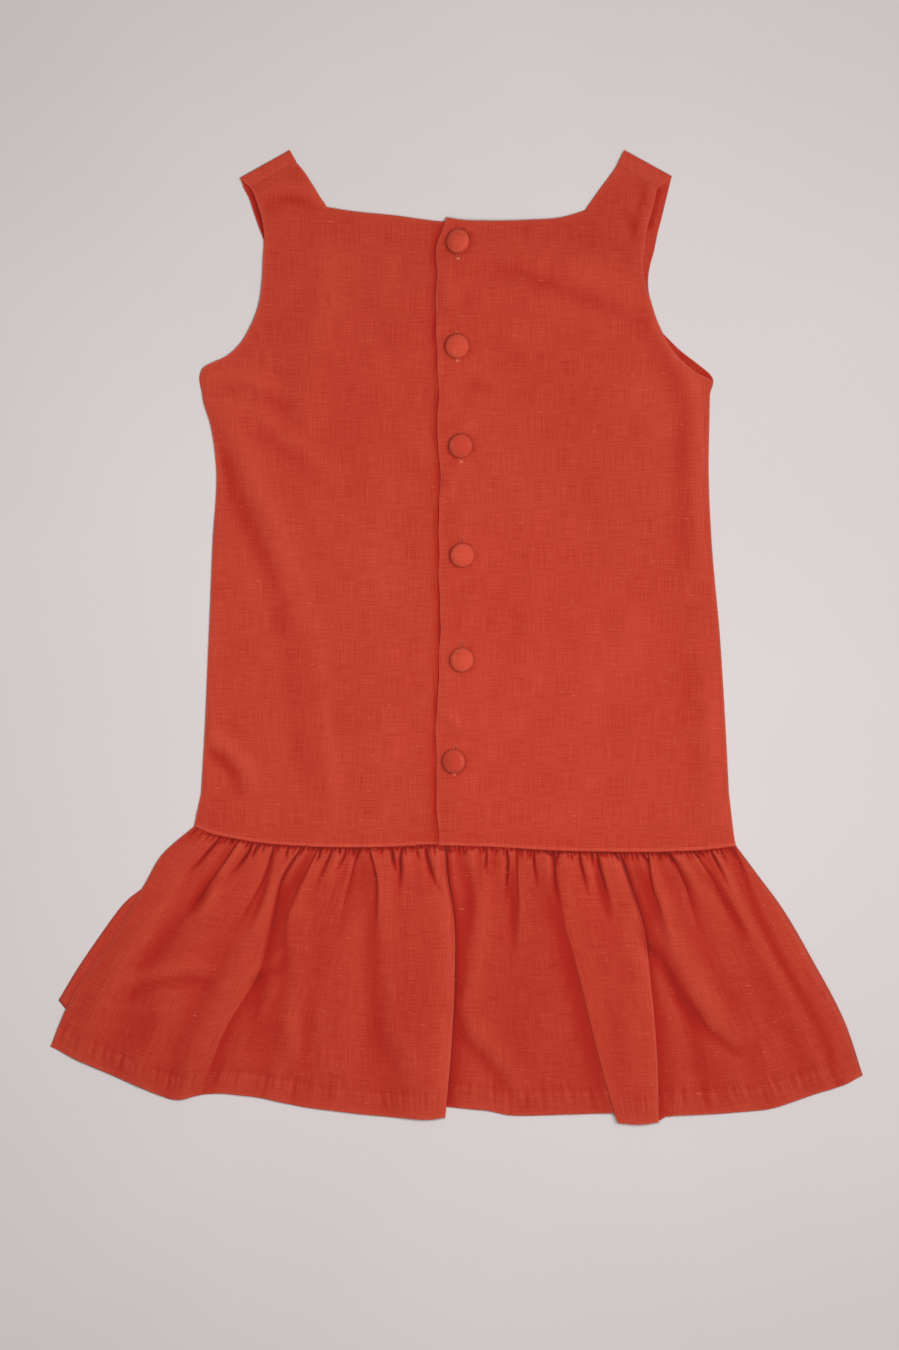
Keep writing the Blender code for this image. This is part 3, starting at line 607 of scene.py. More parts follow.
BACK_LEFT_STRAP = (
    Strap(-127.4, 278.2, -99.8, 294.8),
    Strap(-124.9, 272.6, -94.9, 289.0),
    Strap(-122.3, 265.2, -89.2, 280.4),
    Strap(-120.3, 257.5, -84.5, 272.6),
)
Panel = namedtuple("Panel", "edge_x edge_y neck_x neck_y centre_x centre_y")
UNDERLAP_EDGE = 12.0
LOWEST_BACK, HIGHEST_UNDER_LAP = 0.92, 2.15
UNDER_LAP_X, LAST_LEFT_STITCH_X = -13.5, -12.5
LAP_EDGE = (
    Point(-6.2, 260.0),
    Point(-12.7, 242.0),
    Point(-12.3, 225.0),
    Point(-12.6, 207.0),
    Point(-13.0, 192.0),
    Point(-12.2, 180.0),
    Point(-11.4, 165.0),
    *[Point(s.lap_x, s.y) for s in SIDES],
    Point(WAIST_LAP, -129.0),
)
BACK_LEFT_ARMHOLE = (
    Panel(-119.2, 249.0, -80.4, 266.5, UNDERLAP_EDGE, 257.0),
    Panel(-119.8, 234.0, -82.0, 250.0, UNDERLAP_EDGE, 243.0),
    Panel(-120.7, 218.0, -84.0, 230.0, UNDERLAP_EDGE, 224.0),
    Panel(-122.9, 204.5, -86.0, 212.0, UNDERLAP_EDGE, 208.0),
    Panel(-127.6, 192.8, -88.0, 198.0, UNDERLAP_EDGE, 195.0),
    Panel(-134.2, 181.8, -90.0, 186.0, UNDERLAP_EDGE, 184.0),
    Panel(-143.1, 173.8, -92.0, 177.0, UNDERLAP_EDGE, 176.0),
    Panel(-151.2, 170.2, -94.0, 171.0, UNDERLAP_EDGE, 170.0),
    Panel(-157.2, 166.6, -95.0, 164.0, UNDERLAP_EDGE, 164.0),
)
NECKLINE_LEFT = (
    Point(-80.4, 266.5),
    Point(-63.9, 263.9),
    Point(-38.6, 261.3),
    Point(-8.7, 257.5),
    Point(UNDERLAP_EDGE, 257.0),
)
SEAM_RIDGE_WIDTH, SEAM_RIDGE_HEIGHT, SEAM_RIDGE_FALL = 2.7, 0.5, 1.5

# Each soft crease: how far the cloth rises across it, its reach on its raised and its sunken side,
# and the line that it follows
Crease = namedtuple("Crease", "rise plus minus line")
LEFT_CREASES = (
    Crease(0.65, 5.0, 5.0, ((-160, 154), (-145, 160), (-131, 158), (-118, 154), (-100, 144))),
    Crease(0.6, 9.0, 8.0, ((-99, 168), (-101, 150), (-96, 126))),
    Crease(0.6, 6.0, 6.0, ((-130, 138), (-106, 122), (-90.8, 110), (-71, 90))),
    Crease(1.7, 9.0, 8.0, ((-151, 146), (-146, 126), (-135, 103.7), (-125.5, 82),
                           (-116, 60.3), (-108, 38.6), (-100, 0))),
    Crease(0.75, 9.0, 8.0, ((-104, 25), (-98, -15), (-93, -55), (-84, -90), (-76, -122))),
    Crease(0.4, 4.0, 4.0, ((-92.7, 20), (-84, -50), (-76, -118))),
    Crease(1.5, 5.0, 4.5, ((-164, -60), (-152, -66.5), (-142.6, -72),
                           (-133.3, -83), (-129, -100))),
    Crease(0.8, 4.2, 4.2, ((-122, 269), (-116, 273), (-103.2, 276), (-92, 273), (-82, 266))),
    Crease(0.5, 8.0, 8.0, ((-42, 134), (-34, 122), (-24, 104))),
    Crease(0.5, 9.0, 9.0, ((-86, 250), (-84, 215), (-92, 180))),
    Crease(0.4, 8.0, 8.0, ((-50, 225), (-40, 200), (-30, 180))),
)


def creased(x, y, creases):
    """The rise and fall of the cloth across its soft creases."""
    height = np.zeros(x.shape)
    for crease in creases:
        distance, side, along = from_line(crease.line, x, y)
        t = distance / np.where(side > 0, crease.plus, crease.minus)
        fade = np.sin(math.pi * np.clip(along, 0.0, 1.0)) ** 0.5
        height += crease.rise / 2 * side * t * np.exp((1.0 - t * t) / 2) * fade
    return height


def seam_ridge(above):
    """The seam allowance, which lies up under the cloth and is held by a row of stitches."""
    height = SEAM_RIDGE_HEIGHT * (1.0 - ease((above - SEAM_RIDGE_WIDTH) / SEAM_RIDGE_FALL))
    height = height - 0.2 * bell(above - 2.6, 0.5)
    return height - 0.2 * (1.0 - ease(above / 0.6))


def seam_shade(above):
    """Painted shade at the seam: darker in its stitches' groove, lighter on the raised allowance."""
    return 0.8 * bell(above - 2.75, 0.4) - 0.25 * ease((2.6 - above) / 0.5)


def edge_drop(y, to_side, to_neck, to_shoulder):
    """How far the cloth comes down at its edges: most at the side, where it is sewn to the front,
    and less up the armhole."""
    held_down = 1.0 - 0.72 * ease((y - 158.0) / 10.0)
    at_side = held_down * (1.0 - ease(to_side / 3.4)) ** 1.5
    at_neck = 0.6 * (1.0 - ease(to_neck / 2.2)) ** 1.5
    return at_side + at_neck + 0.12 * (1.0 - ease(to_shoulder / 1.0))


def edge_wear(above, to_side, to_neck, to_shoulder):
    """The rubbed look of the turned edges and of the seam allowance's ridge."""
    at_edges = 0.9 * np.exp(-to_side / 1.3) + 0.8 * np.exp(-to_neck / 1.2)
    at_seam = 0.1 * np.exp(-above / 0.9) + 0.15 * bell(above - 2.0, 0.5)
    return at_edges + at_seam + 0.25 * np.exp(-to_shoulder / 1.2)


def bend_to_neck(points, neck_row, first_column, neckline):
    """Bend the rows below the neck from their straight sections to the curve of the neck edge."""
    straight = points[neck_row, first_column - 1 :].copy()
    straight = straight[np.argsort(straight[:, 0])]
    for row in points[neck_row:]:
        x = row[first_column:, 0]
        level = np.interp(x, straight[:, 0], straight[:, 1])
        sag = smooth(x, *zip(*neckline)) - level
        row[first_column:, 1] += sag * (1.0 - ease((level - row[first_column:, 1]) / 17.0))


back_strap_span = span(14, near=EDGE_STEPS, far=NECK_STEPS[::-1])
strap_columns = len(back_strap_span)
body_span = span(44, far=EDGE_STEPS[::-1])
columns = [[s[:2], s[2:], (UNDERLAP_EDGE, s.neck_y)] for s in BACK_LEFT_STRAP]
columns += [[s[:2], s[2:4], s[4:]] for s in BACK_LEFT_ARMHOLE]
neck_x = BACK_LEFT_ARMHOLE[-1].neck_x
columns += [[(s.left_x, s.y), (neck_x, s.y), (UNDERLAP_EDGE, s.y)] for s in SIDES]
feet = (WAIST_LEFT, neck_x, UNDERLAP_EDGE)
spans = [back_strap_span, body_span]
flat, neck_row = bodice_points(np.array(columns), feet, spans, len(BACK_LEFT_STRAP))
bend_to_neck(flat, neck_row, strap_columns, NECKLINE_LEFT)
x, y = flat[..., 0], flat[..., 1]
outer, inner = flat[:, 0], flat[:neck_row, strap_columns - 1]
neck_edge = np.concatenate([inner, flat[neck_row, strap_columns - 1 :]])
to_side = from_line(outer, x, y)[0]
to_neck = from_line(neck_edge, x, y)[0]
to_shoulder = from_line(flat[0, :strap_columns], x, y)[0]
above = y - waist_y(x)
z = BACK_LEVEL + seam_ridge(above) * ease((1.0 - x) / 12.0)
z += 1.08 * creased(x, y, LEFT_CREASES) * ease(to_side / 6.0) * ease((above - 2.0) / 8.0)
z += 0.22 * soft_waves(x, y, 52.0, 31) * ease((-16.0 - x) / 10.0)
# Painted shade: darker in the creases' hollows and in the seam's groove
painted_shade = 1.1 * depth_below(np.dstack([flat, z]), 8.0) + seam_shade(above)
# A painted shadow of the lap's edge on the left back, and painted shade towards the tops of the
# straps
from_lap = x - smooth(-y, *zip(*[(-p.y, p.x) for p in LAP_EDGE]))
shaded = 0.6 + 0.25 * np.sin(y / 9.0) + 0.2 * np.sin(y / 3.7)
painted_shade += shaded * bell(from_lap, 1.5) + 0.5 * bell(from_lap, 5.0)
painted_shade += 0.12 * ease((y - 235.0) / 20.0)
z = np.maximum(z - edge_drop(y, to_side, to_neck, to_shoulder), LOWEST_BACK)
z = np.where(x > UNDER_LAP_X, np.minimum(z, HIGHEST_UNDER_LAP), z)
worn = edge_wear(above, to_side, to_neck, to_shoulder)
flat[:neck_row, strap_columns:] = np.nan
left_points = np.dstack([flat, z])
back_left = lay_cloth("left_back_cloth", left_points, np.clip(worn, 0.0, 1.0), painted_shade)
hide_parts("back_left")


# The right back. It laps over the left one at the centre and is fastened by six buttons, each in a
# vertical buttonhole. Towards its side it comes down to the level of the left back.

BACK_RIGHT_STRAP = (
    Strap(124.3, 277.9, 99.9, 293.0),
    Strap(122.0, 267.0, 94.8, 285.6),
    Strap(120.1, 260.2, 89.2, 278.2),
    Strap(117.9, 252.5, 83.6, 270.2),
)
BACK_RIGHT_ARMHOLE = (
    Panel(116.9, 243.8, 79.9, 264.5, -6.2, 260.0),
    Panel(115.6, 231.0, 81.0, 247.0, -12.7, 242.0),
    Panel(116.6, 220.5, 82.0, 230.0, -12.3, 225.0),
    Panel(120.0, 209.5, 84.0, 213.0, -12.6, 207.0),
    Panel(124.9, 194.6, 86.0, 197.0, -13.0, 192.0),
    Panel(133.6, 178.3, 88.0, 184.0, -12.2, 180.0),
    Panel(141.0, 170.3, 90.0, 174.0, -11.8, 171.0),
    Panel(149.7, 163.3, 92.0, 166.0, -11.4, 165.0),
    Panel(157.3, 159.6, 94.0, 159.0, -11.2, 158.0),
)
NECKLINE_RIGHT = (
    Point(-6.2, 260.0),
    Point(3.0, 258.5),
    Point(20.0, 257.9),
    Point(45.0, 258.5),
    Point(66.0, 260.4),
    Point(79.9, 264.5),
)
# The last column is each button's own painted shade
Button = namedtuple("Button", "x y lean towards slit_y deep")
BUTTONS = (
    Button(1.2, 244.7, 17.0, 170.0, 243.4, 0.0),
    Button(0.4, 180.0, 5.0, 250.0, 180.2, 0.0),
    Button(2.7, 118.4, 8.0, 235.0, 117.8, 0.35),
    Button(3.5, 50.7, 5.0, 300.0, 53.4, 0.0),
    Button(3.4, -14.1, 7.0, 160.0, -11.6, 0.0),
    Button(-1.4, -76.9, 12.0, 185.0, -75.7, 0.45),
)
SLIT_HALF_LENGTH, SLIT_HALF_WIDTH, SHANK_ROOM = 9.5, 0.05, 0.9
LAP_FLAT_END, LAP_SLOPE_END = 9.0, 84.0
LOWEST_LAP, LOWEST_SLOPE_END = 2.55, 1.15
RIGHT_CREASES = (
    Crease(1.2, 12.0, 7.5, ((12, 236.5), (37, 232.5), (59, 225.2),
                            (80.6, 217), (102, 209), (124, 199))),
    Crease(1.4, 5.0, 9.0, ((119, 205), (131, 186), (141, 166), (146.5, 147),
                           (148, 120), (147, 84), (149, 30))),
    Crease(0.8, 7.0, 9.0, ((148, 10), (152, -27), (156, -80), (160, -126))),
    Crease(0.4, 9.0, 9.0, ((104, 50), (105, -20), (107, -110))),
    Crease(0.8, 3.0, 3.4, ((121, 284), (118, 268), (113, 248))),
    Crease(0.5, 4.0, 4.0, ((104, 270), (111, 262), (119, 248))),
    Crease(0.45, 4.0, 4.0, ((6, 160.5), (16, 159), (27, 155))),
    Crease(0.6, 3.5, 4.5, ((-11, -42), (-5, -52), (6, -60))),
    Crease(0.5, 3.5, 3.5, ((-10, 228), (-8, 217), (-8, 204))),
    Crease(0.5, 3.5, 3.5, ((-7, 106), (-6, 97), (-8, 86))),
    Crease(0.4, 7.0, 7.0, ((30, 190), (44, 178), (60, 176))),
    Crease(0.35, 9.0, 9.0, ((40, 60), (44, 0), (40, -60))),
)


def slit_x(y):
    """The line down the lap that the buttonholes are on."""
    places = [-b.slit_y for b in BUTTONS]
    return smooth(-np.asarray(y, dtype=float), places, [b.x for b in BUTTONS])


def lap_sections():
    """The right back's sections: armhole edge, neck line, both lips of the slits, lap edge."""
    panels = [Panel(*s, LAP_EDGE[0].x, s.neck_y) for s in BACK_RIGHT_STRAP] + list(BACK_RIGHT_ARMHOLE)
    neck_x = BACK_RIGHT_ARMHOLE[-1].neck_x
    panels += [Panel(s.right_x, s.y, neck_x, s.y, s.lap_x, s.y) for s in SIDES]
    sections = []
    for s in panels:
        lips = []
        for lip in (SLIT_HALF_WIDTH, -SLIT_HALF_WIDTH):
            x = float(slit_x(s.centre_y)) + lip
            share = (x - s.neck_x) / (s.centre_x - s.neck_x)
            lips.append((x, s.neck_y + (s.centre_y - s.neck_y) * share))
        sections.append([s[:2], s[2:4], *lips, s[4:]])
    return np.array(sections)


spans = [
    back_strap_span,
    span(34, far=(2.4, 1.4, 0.6, 0.0)),
    np.array([[0.0, 1.0]]),
    span(3, near=(0.6, 1.4, 2.4), far=NECK_STEPS[::-1]),
]
slit_ends = [b.slit_y + end for b in BUTTONS for end in (SLIT_HALF_LENGTH, -SLIT_HALF_LENGTH)]
low_slit_x = float(slit_x(SIDE_LOW))
feet = (
    WAIST_RIGHT,
    BACK_RIGHT_ARMHOLE[-1].neck_x,
    low_slit_x + SLIT_HALF_WIDTH,
    low_slit_x - SLIT_HALF_WIDTH,
    WAIST_LAP,
)
flat, neck_row = bodice_points(lap_sections(), feet, spans, len(BACK_RIGHT_STRAP), slit_ends)
bend_to_neck(flat, neck_row, strap_columns, NECKLINE_RIGHT)
right_lip = strap_columns + len(spans[1]) - 1
for b in BUTTONS:
    for column, outward in ((right_lip, 1.0), (right_lip + 1, -1.0)):
        north = flat[:, column, 1] - b.y
        room = SHANK_ROOM * bell(north, 2.0) + 0.4 * bell(north - 8.4, 1.0)
        flat[:, column, 0] += outward * room
x, y = flat[..., 0], flat[..., 1]
inner, across_neck = flat[:neck_row, strap_columns - 1], flat[neck_row, strap_columns:]
neck_edge = np.concatenate([inner, across_neck])
to_side = from_line(flat[:, 0], x, y)[0]
to_neck = from_line(neck_edge, x, y)[0]
to_lap = from_line(flat[neck_row:, -1], x, y)[0]
to_shoulder = from_line(flat[0, :strap_columns], x, y)[0]
wiggle = 0.28 * np.sin(y / 7.1) + 0.2 * np.sin(y / 3.9 + 1.0)
flat[..., 0] += np.nan_to_num(wiggle * np.exp(-to_lap / 3.0))
above = y - waist_y(x)
slope = ease((x - LAP_FLAT_END) / (LAP_SLOPE_END - LAP_FLAT_END))
z = LAP_LEVEL - (LAP_LEVEL - BACK_LEVEL) * slope + seam_ridge(above)
z += 1.1 * creased(x, y, RIGHT_CREASES) * ease(to_side / 6.0) * ease((above - 2.0) / 8.0)
z += 0.22 * soft_waves(x, y, 52.0, 41) * ease((x - 22.0) / 12.0)
z += 0.16 * soft_waves(x, y, 26.0, 42) * ease((22.0 - x) / 8.0)
# Painted shade: darker in the creases' hollows and in the seam's groove
painted_shade = 1.1 * depth_below(np.dstack([flat, z]), 8.0) + seam_shade(above)
z -= edge_drop(y, to_side, to_neck, to_shoulder) + 0.3 * (1.0 - ease(to_lap / 1.8)) ** 1.5
lowest = LOWEST_LAP - (LOWEST_LAP - LOWEST_SLOPE_END) * slope
z = np.maximum(z, np.where(x > LAP_SLOPE_END, LOWEST_BACK, lowest))
# A painted shadow round each button, and painted shade towards the tops of the straps
for b in BUTTONS:
    from_button = np.hypot(x - b.x, y - b.y)
    painted_shade += 0.4 * bell(np.maximum(from_button - 7.6, 0.0), 1.3)
painted_shade += 0.2 * ease((y - 225.0) / 20.0)
by_slit = np.abs(x - slit_x(y))
for b in BUTTONS:
    near_slit = (1.0 - ease((np.abs(y - b.slit_y) - SLIT_HALF_LENGTH - 0.5) / 1.5)) * (by_slit < 8)
    z += near_slit * (0.16 * bell(by_slit - 1.3, 0.8) - 0.1 * np.exp(-by_slit / 0.5))
worn = edge_wear(above, to_side, to_neck, to_shoulder) + 0.6 * np.exp(-to_lap / 1.1)
flat[:neck_row, strap_columns:] = np.nan
right_points = np.dstack([flat, z])[:, ::-1]
worn, painted_shade = np.clip(worn, 0.0, 1.0)[:, ::-1], painted_shade[:, ::-1]
slit_column = right_points.shape[1] - 2 - right_lip
middles = (right_points[:-1, slit_column, 1] + right_points[1:, slit_column, 1]) / 2
opened = [
    (row, slit_column)
    for row, middle in enumerate(middles)
    if any(abs(middle - b.slit_y) < SLIT_HALF_LENGTH for b in BUTTONS)
]
back_right = lay_cloth("right_back_cloth", right_points, worn, painted_shade, opened=opened)
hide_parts("back_right")


# The back flounce. A strip of linen nearly twice as wide as the waist, gathered into the waist seam
# by hand-pulled threads, with its hem turned up 15 mm and stitched. Its gathers run out into long
# folds, some of which lie over the cloth beside them.

HEM = (
    Point(-251.8, -253.0),
    Point(-239.3, -260.1),
    Point(-210.8, -272.4),
    Point(-184.2, -283.8),
    Point(-173.0, -287.6),
    Point(-160.0, -283.4),
    Point(-145.1, -282.5),
    Point(-122.5, -285.1),
    Point(-94.7, -291.2),
    Point(-58.2, -295.6),
    Point(-18.0, -299.1),
    Point(-8.6, -297.6),
    Point(-6.6, -291.0),
    Point(23.0, -293.6),
    Point(30.0, -296.2),
    Point(42.0, -296.6),
    Point(97.6, -294.7),
    Point(100.2, -300.8),
    Point(115.0, -302.0),
    Point(124.4, -300.2),
    Point(130.0, -296.6),
    Point(163.7, -295.2),
    Point(195.0, -292.5),
    Point(224.6, -282.2),
    Point(244.0, -276.6),
    Point(251.8, -270.4),
)
# Each long fold: its place at the waist and at these shares of the way down, how much the cloth
# beyond it swells, and down to what share its hollow runs
SHARES = (0.0, 0.12, 0.25, 0.5, 0.75, 1.0)
Fold = namedtuple("Fold", "x0 x12 x25 x50 x75 x100 wave run")
FOLDS = (
    Fold(-162.6, -181.5, -192.2, -212.0, -236.5, -251.8, 1.4, 1.0),
    Fold(-134.4, -146.5, -159.5, -188.0, -202.0, -211.0, 1.4, 0.42),
    Fold(-112.7, -118.3, -129.0, -150.0, -168.0, -178.0, 1.0, 0.36),
    Fold(-95.8, -107.4, -112.5, -122.5, -145.0, -158.8, 1.0, 0.7),
    Fold(-85.1, -94.6, -103.0, -106.5, -114.0, -122.0, 1.2, 0.55),
    Fold(-60.8, -65.3, -71.2, -82.0, -92.0, -99.0, 0.9, 0.34),
    Fold(-54.1, -49.6, -49.8, -49.8, -49.0, -43.0, 1.4, 0.42),
    Fold(-6.9, -5.7, -2.3, -2.0, -4.2, -7.9, 0.6, 2.0),
    Fold(37.5, 37.6, 38.1, 39.0, 41.0, 44.0, 0.5, 0.42),
    Fold(60.6, 61.6, 66.5, 77.6, 87.6, 98.9, 1.0, 0.3),
    Fold(100.8, 107.4, 114.4, 120.0, 123.5, 124.6, 1.0, 0.7),
    Fold(118.5, 120.8, 128.1, 141.0, 157.0, 171.0, 0.6, 0.34),
    Fold(131.5, 141.4, 147.7, 163.0, 180.0, 195.0, 0.6, 0.36),
    Fold(146.8, 159.2, 168.0, 190.0, 207.0, 222.0, 0.6, 0.4),
    Fold(171.6, 178.8, 186.0, 204.0, 226.0, 239.5, 0.6, 0.2),
    Fold(173.3, 186.0, 199.8, 220.8, 239.5, 251.8, 0.0, 1.0),
)
# The short gathers under the seam and the broad hollows between the folds: how deep, as a share of
# the gathers' height, how wide each is, and its line
Gather = namedtuple("Gather", "depth width line")
GATHERS = (
    Gather(0.95, 0.9, ((-146.0, -123.2), (-148.3, -126.7), (-153.1, -131.9),
                       (-156.5, -136.3), (-161.8, -141.9), (-170.4, -150.1))),
    Gather(0.9, 0.8, ((-160.0, -118.4), (-162.6, -120.6), (-167.8, -125.0))),
    Gather(1.0, 0.85, ((-126.8, -128.0), (-128.3, -132.8), (-131.4, -137.1),
                       (-136.6, -143.6), (-142.5, -148.8))),
    Gather(0.9, 0.7, ((-123.4, -128.9), (-125.3, -133.6), (-127.9, -138.4))),
    Gather(0.9, 0.7, ((-103.7, -128.9), (-104.9, -133.2), (-105.5, -140.6))),
    Gather(0.7, 0.9, ((-88.6, -129.7), (-88.8, -133.0))),
    Gather(1.0, 0.9, ((-84.1, -130.2), (-84.9, -135.4), (-88.8, -141.9))),
    Gather(0.9, 0.75, ((-77.1, -130.3), (-78.4, -135.4), (-81.9, -143.2),
                       (-85.8, -151.9), (-87.9, -158.8))),
    Gather(0.95, 0.8, ((-72.3, -130.5), (-72.5, -136.3))),
    Gather(0.9, 0.75, ((-68.4, -130.5), (-69.3, -135.4), (-71.9, -140.6), (-75.4, -147.5))),
    Gather(0.9, 0.8, ((-64.3, -130.9), (-63.5, -134.9), (-62.6, -136.7))),
    Gather(0.9, 0.8, ((-59.1, -130.5), (-61.0, -134.9), (-62.9, -139.7))),
    Gather(0.7, 0.7, ((-45.8, -131.5), (-47.6, -134.9))),
    Gather(1.0, 0.8, ((-40.0, -131.4), (-39.1, -138.9), (-37.1, -144.1), (-35.2, -147.1))),
    Gather(1.0, 0.9, ((-33.8, -131.2), (-35.0, -138.0), (-34.5, -143.2),
                      (-35.0, -151.0), (-35.8, -162.3))),
    Gather(0.7, 0.8, ((-24.7, -131.2), (-23.4, -136.3), (-22.6, -138.9))),
    Gather(1.0, 0.95, ((-19.0, -131.2), (-17.8, -138.0), (-15.4, -145.8),
                       (-13.4, -151.0), (-8.7, -158.0), (-6.1, -163.2))),
    Gather(0.9, 0.7, ((-10.8, -131.0), (-4.8, -132.1), (3.9, -131.6))),
    Gather(0.7, 0.7, ((6.5, -130.9), (4.3, -135.2))),
    Gather(0.6, 0.7, ((14.3, -131.2), (15.7, -135.4))),
    Gather(0.85, 0.8, ((18.5, -131.0), (18.5, -137.1), (17.8, -142.3),
                       (20.0, -146.7), (21.7, -151.4))),
    Gather(0.7, 0.7, ((25.2, -131.9), (23.2, -135.6))),
    Gather(0.95, 0.8, ((47.9, -132.3), (48.0, -140.6), (49.3, -148.4), (50.8, -158.8))),
    Gather(0.9, 0.8, ((54.3, -131.9), (58.6, -134.8), (61.5, -137.8))),
    Gather(0.9, 1.0, ((63.6, -133.0), (61.5, -137.8), (60.5, -144.9))),
    Gather(1.0, 0.95, ((76.0, -132.3), (76.7, -139.7), (79.0, -148.4),
                       (81.0, -156.2), (83.0, -164.9))),
    Gather(0.8, 0.7, ((83.1, -133.0), (83.8, -138.4))),
    Gather(0.85, 0.8, ((83.8, -133.0), (84.3, -138.9), (84.1, -143.6))),
    Gather(1.0, 0.95, ((87.1, -133.0), (88.2, -141.5), (90.6, -149.7),
                       (94.1, -162.3), (97.5, -173.6))),
    Gather(1.0, 0.85, ((96.7, -133.0), (100.8, -137.6), (102.6, -140.6))),
    Gather(1.0, 0.85, ((114.0, -133.5), (118.2, -138.4), (119.2, -144.9))),
    Gather(0.9, 0.7, ((126.4, -133.0), (126.7, -139.7))),
    Gather(1.0, 0.8, ((129.7, -133.0), (132.4, -136.7), (135.9, -143.6))),
    Gather(1.0, 0.9, ((146.2, -132.3), (150.1, -136.3), (152.7, -139.3))),
    Gather(1.0, 0.85, ((157.3, -131.9), (160.9, -139.3), (164.0, -144.9),
                       (166.1, -149.7), (169.6, -158.0))),
    Gather(0.9, 0.75, ((163.4, -131.5), (166.0, -136.7), (168.3, -140.6))),
    Gather(0.95, 0.8, ((170.3, -130.6), (172.6, -135.8), (174.8, -140.6))),
    Gather(1.0, 0.8, ((31.1, -132.0), (31.8, -139.0), (31.3, -149.3),
                      (30.8, -160.0), (30.0, -171.0))),
)
HOLLOWS = (
    Gather(0.6, 5.0, ((-90.0, -136.0), (-97.0, -150.0), (-106.6, -162.0),
                      (-110.0, -178.0), (-115.0, -200.0))),
    Gather(0.7, 2.0, ((-113.5, -132.0), (-117.0, -148.0), (-121.0, -162.0), (-129.0, -182.0))),
    Gather(0.5, 4.2, ((4.5, -133.0), (6.5, -148.0), (7.5, -162.0), (7.0, -190.0))),
    Gather(0.6, 2.2, ((34.3, -133.0), (34.2, -150.0), (34.4, -162.0),
                      (35.0, -178.0), (36.0, -195.0))),
    Gather(0.7, 2.2, ((86.0, -136.0), (88.0, -150.0), (91.5, -162.0), (95.0, -176.0))),
    Gather(0.4, 4.4, ((111.0, -134.0), (116.0, -150.0), (121.0, -162.0),
                      (127.0, -178.0), (134.0, -200.0))),
    Gather(0.7, 3.2, ((152.0, -140.0), (160.0, -153.0), (166.0, -162.0),
                      (173.0, -174.0), (182.0, -192.0))),
    Gather(0.6, 3.0, ((-146.0, -143.0), (-151.0, -153.0), (-157.0, -163.0), (-164.0, -176.0))),
    Gather(0.3, 9.0, ((-160.0, -160.0), (-172.0, -182.0), (-184.0, -202.0), (-196.0, -225.0))),
    Gather(0.75, 8.5, ((-102.0, -168.0), (-112.0, -192.0), (-118.0, -210.0),
                       (-121.0, -228.0), (-129.0, -262.0))),
    Gather(0.8, 6.5, ((108.0, -155.0), (120.0, -184.0), (132.0, -208.0),
                      (145.0, -238.0), (158.0, -300.0))),
    Gather(0.7, 6.5, ((57.0, -145.0), (63.0, -172.0), (72.0, -205.0),
                      (82.0, -240.0), (92.0, -288.0))),
    Gather(0.5, 7.0, ((-188.0, -218.0), (-190.0, -238.0), (-196.0, -262.0))),
)
# Where the cloth to the left (-) or the right (+) of a fold lies over the other side: how high,
# down to what share of the length, how far that lift reaches, and the width of its soft slope, or 0
# where it is folded crisply
Tuck = namedtuple("Tuck", "x0 over end reach slope")
TUCKS = (
    Tuck(-134.4, 1.3, 0.30, 6.0, 1.6),
    Tuck(-112.7, -0.9, 0.30, 5.0, 1.6),
    Tuck(-95.8, -1.8, 1.3, 18.0, 1.0),
    Tuck(-85.1, 1.8, 0.50, 7.0, 2.6),
    Tuck(-60.8, -1.2, 0.40, 6.0, 2.2),
    Tuck(-54.1, 0.8, 0.45, 7.0, 2.6),
    Tuck(-6.9, -3.3, 2.0, 22.0, 0.0),
    Tuck(37.5, 1.2, 0.50, 6.0, 1.6),
    Tuck(60.6, 2.6, 2.0, 24.0, 5.0),
    Tuck(100.8, -2.2, 2.0, 13.0, 0.0),
    Tuck(118.5, 1.5, 0.42, 7.0, 2.2),
    Tuck(131.5, -0.9, 0.36, 5.0, 1.6),
    Tuck(146.8, -1.7, 0.45, 7.0, 1.8),
    Tuck(171.6, -0.6, 1.1, 5.0, 0.6),
)
WHOLE_AT_HEM = 1.5
TUCK_STEPS = (-1.0, -0.75, -0.5, -0.25, 0.0, 0.25, 0.5, 0.75, 1.0)
FLOUNCE_CREASES = (
    Crease(1.1, 8.0, 8.0, ((-150, -142), (-160, -160), (-175, -183), (-190, -208), (-205, -232))),
    Crease(1.4, 3.0, 3.2, ((-150, -150), (-155.9, -161), (-163, -172))),
    Crease(1.3, 4.5, 4.5, ((-208, -221), (-195, -214.5), (-181, -209.8),
                           (-168, -208), (-148, -210))),
    Crease(0.7, 3.2, 3.2, ((-130, -213), (-122, -207), (-112.5, -204.5), (-105, -195))),
    Crease(0.8, 4.0, 4.0, ((-117, -208), (-119, -222), (-123, -240))),
    Crease(0.8, 5.0, 5.0, ((-106, -235), (-103, -252), (-99, -274))),
    Crease(0.9, 6.0, 6.0, ((-54, -132), (-50, -150), (-47.4, -206),
                           (-45, -246), (-33, -261), (-28, -285))),
    Crease(1.4, 7.0, 4.5, ((-3, -222), (0, -233), (8.4, -247),
                           (20.8, -260), (31, -272), (36, -286))),
    Crease(1.0, 5.0, 5.0, ((16, -140), (13, -165), (8, -206), (0, -233))),
    Crease(2.4, 9.0, 3.2, ((114, -178), (120, -188), (130, -199),
                           (142, -222), (156, -240), (180, -258))),
    Crease(1.0, 4.0, 4.0, ((119, -140), (124, -160), (134, -200))),
    Crease(1.1, 4.5, 4.5, ((154, -136), (160, -147), (170, -167), (182, -190))),
    Crease(0.8, 6.0, 6.0, ((-80, -180), (-88, -220), (-92, -268))),
    Crease(0.7, 7.0, 7.0, ((100, -215), (106, -250), (108, -285))),
)
GATHER_RISE = 1.7
FLOUNCE_LENGTH = 165.0
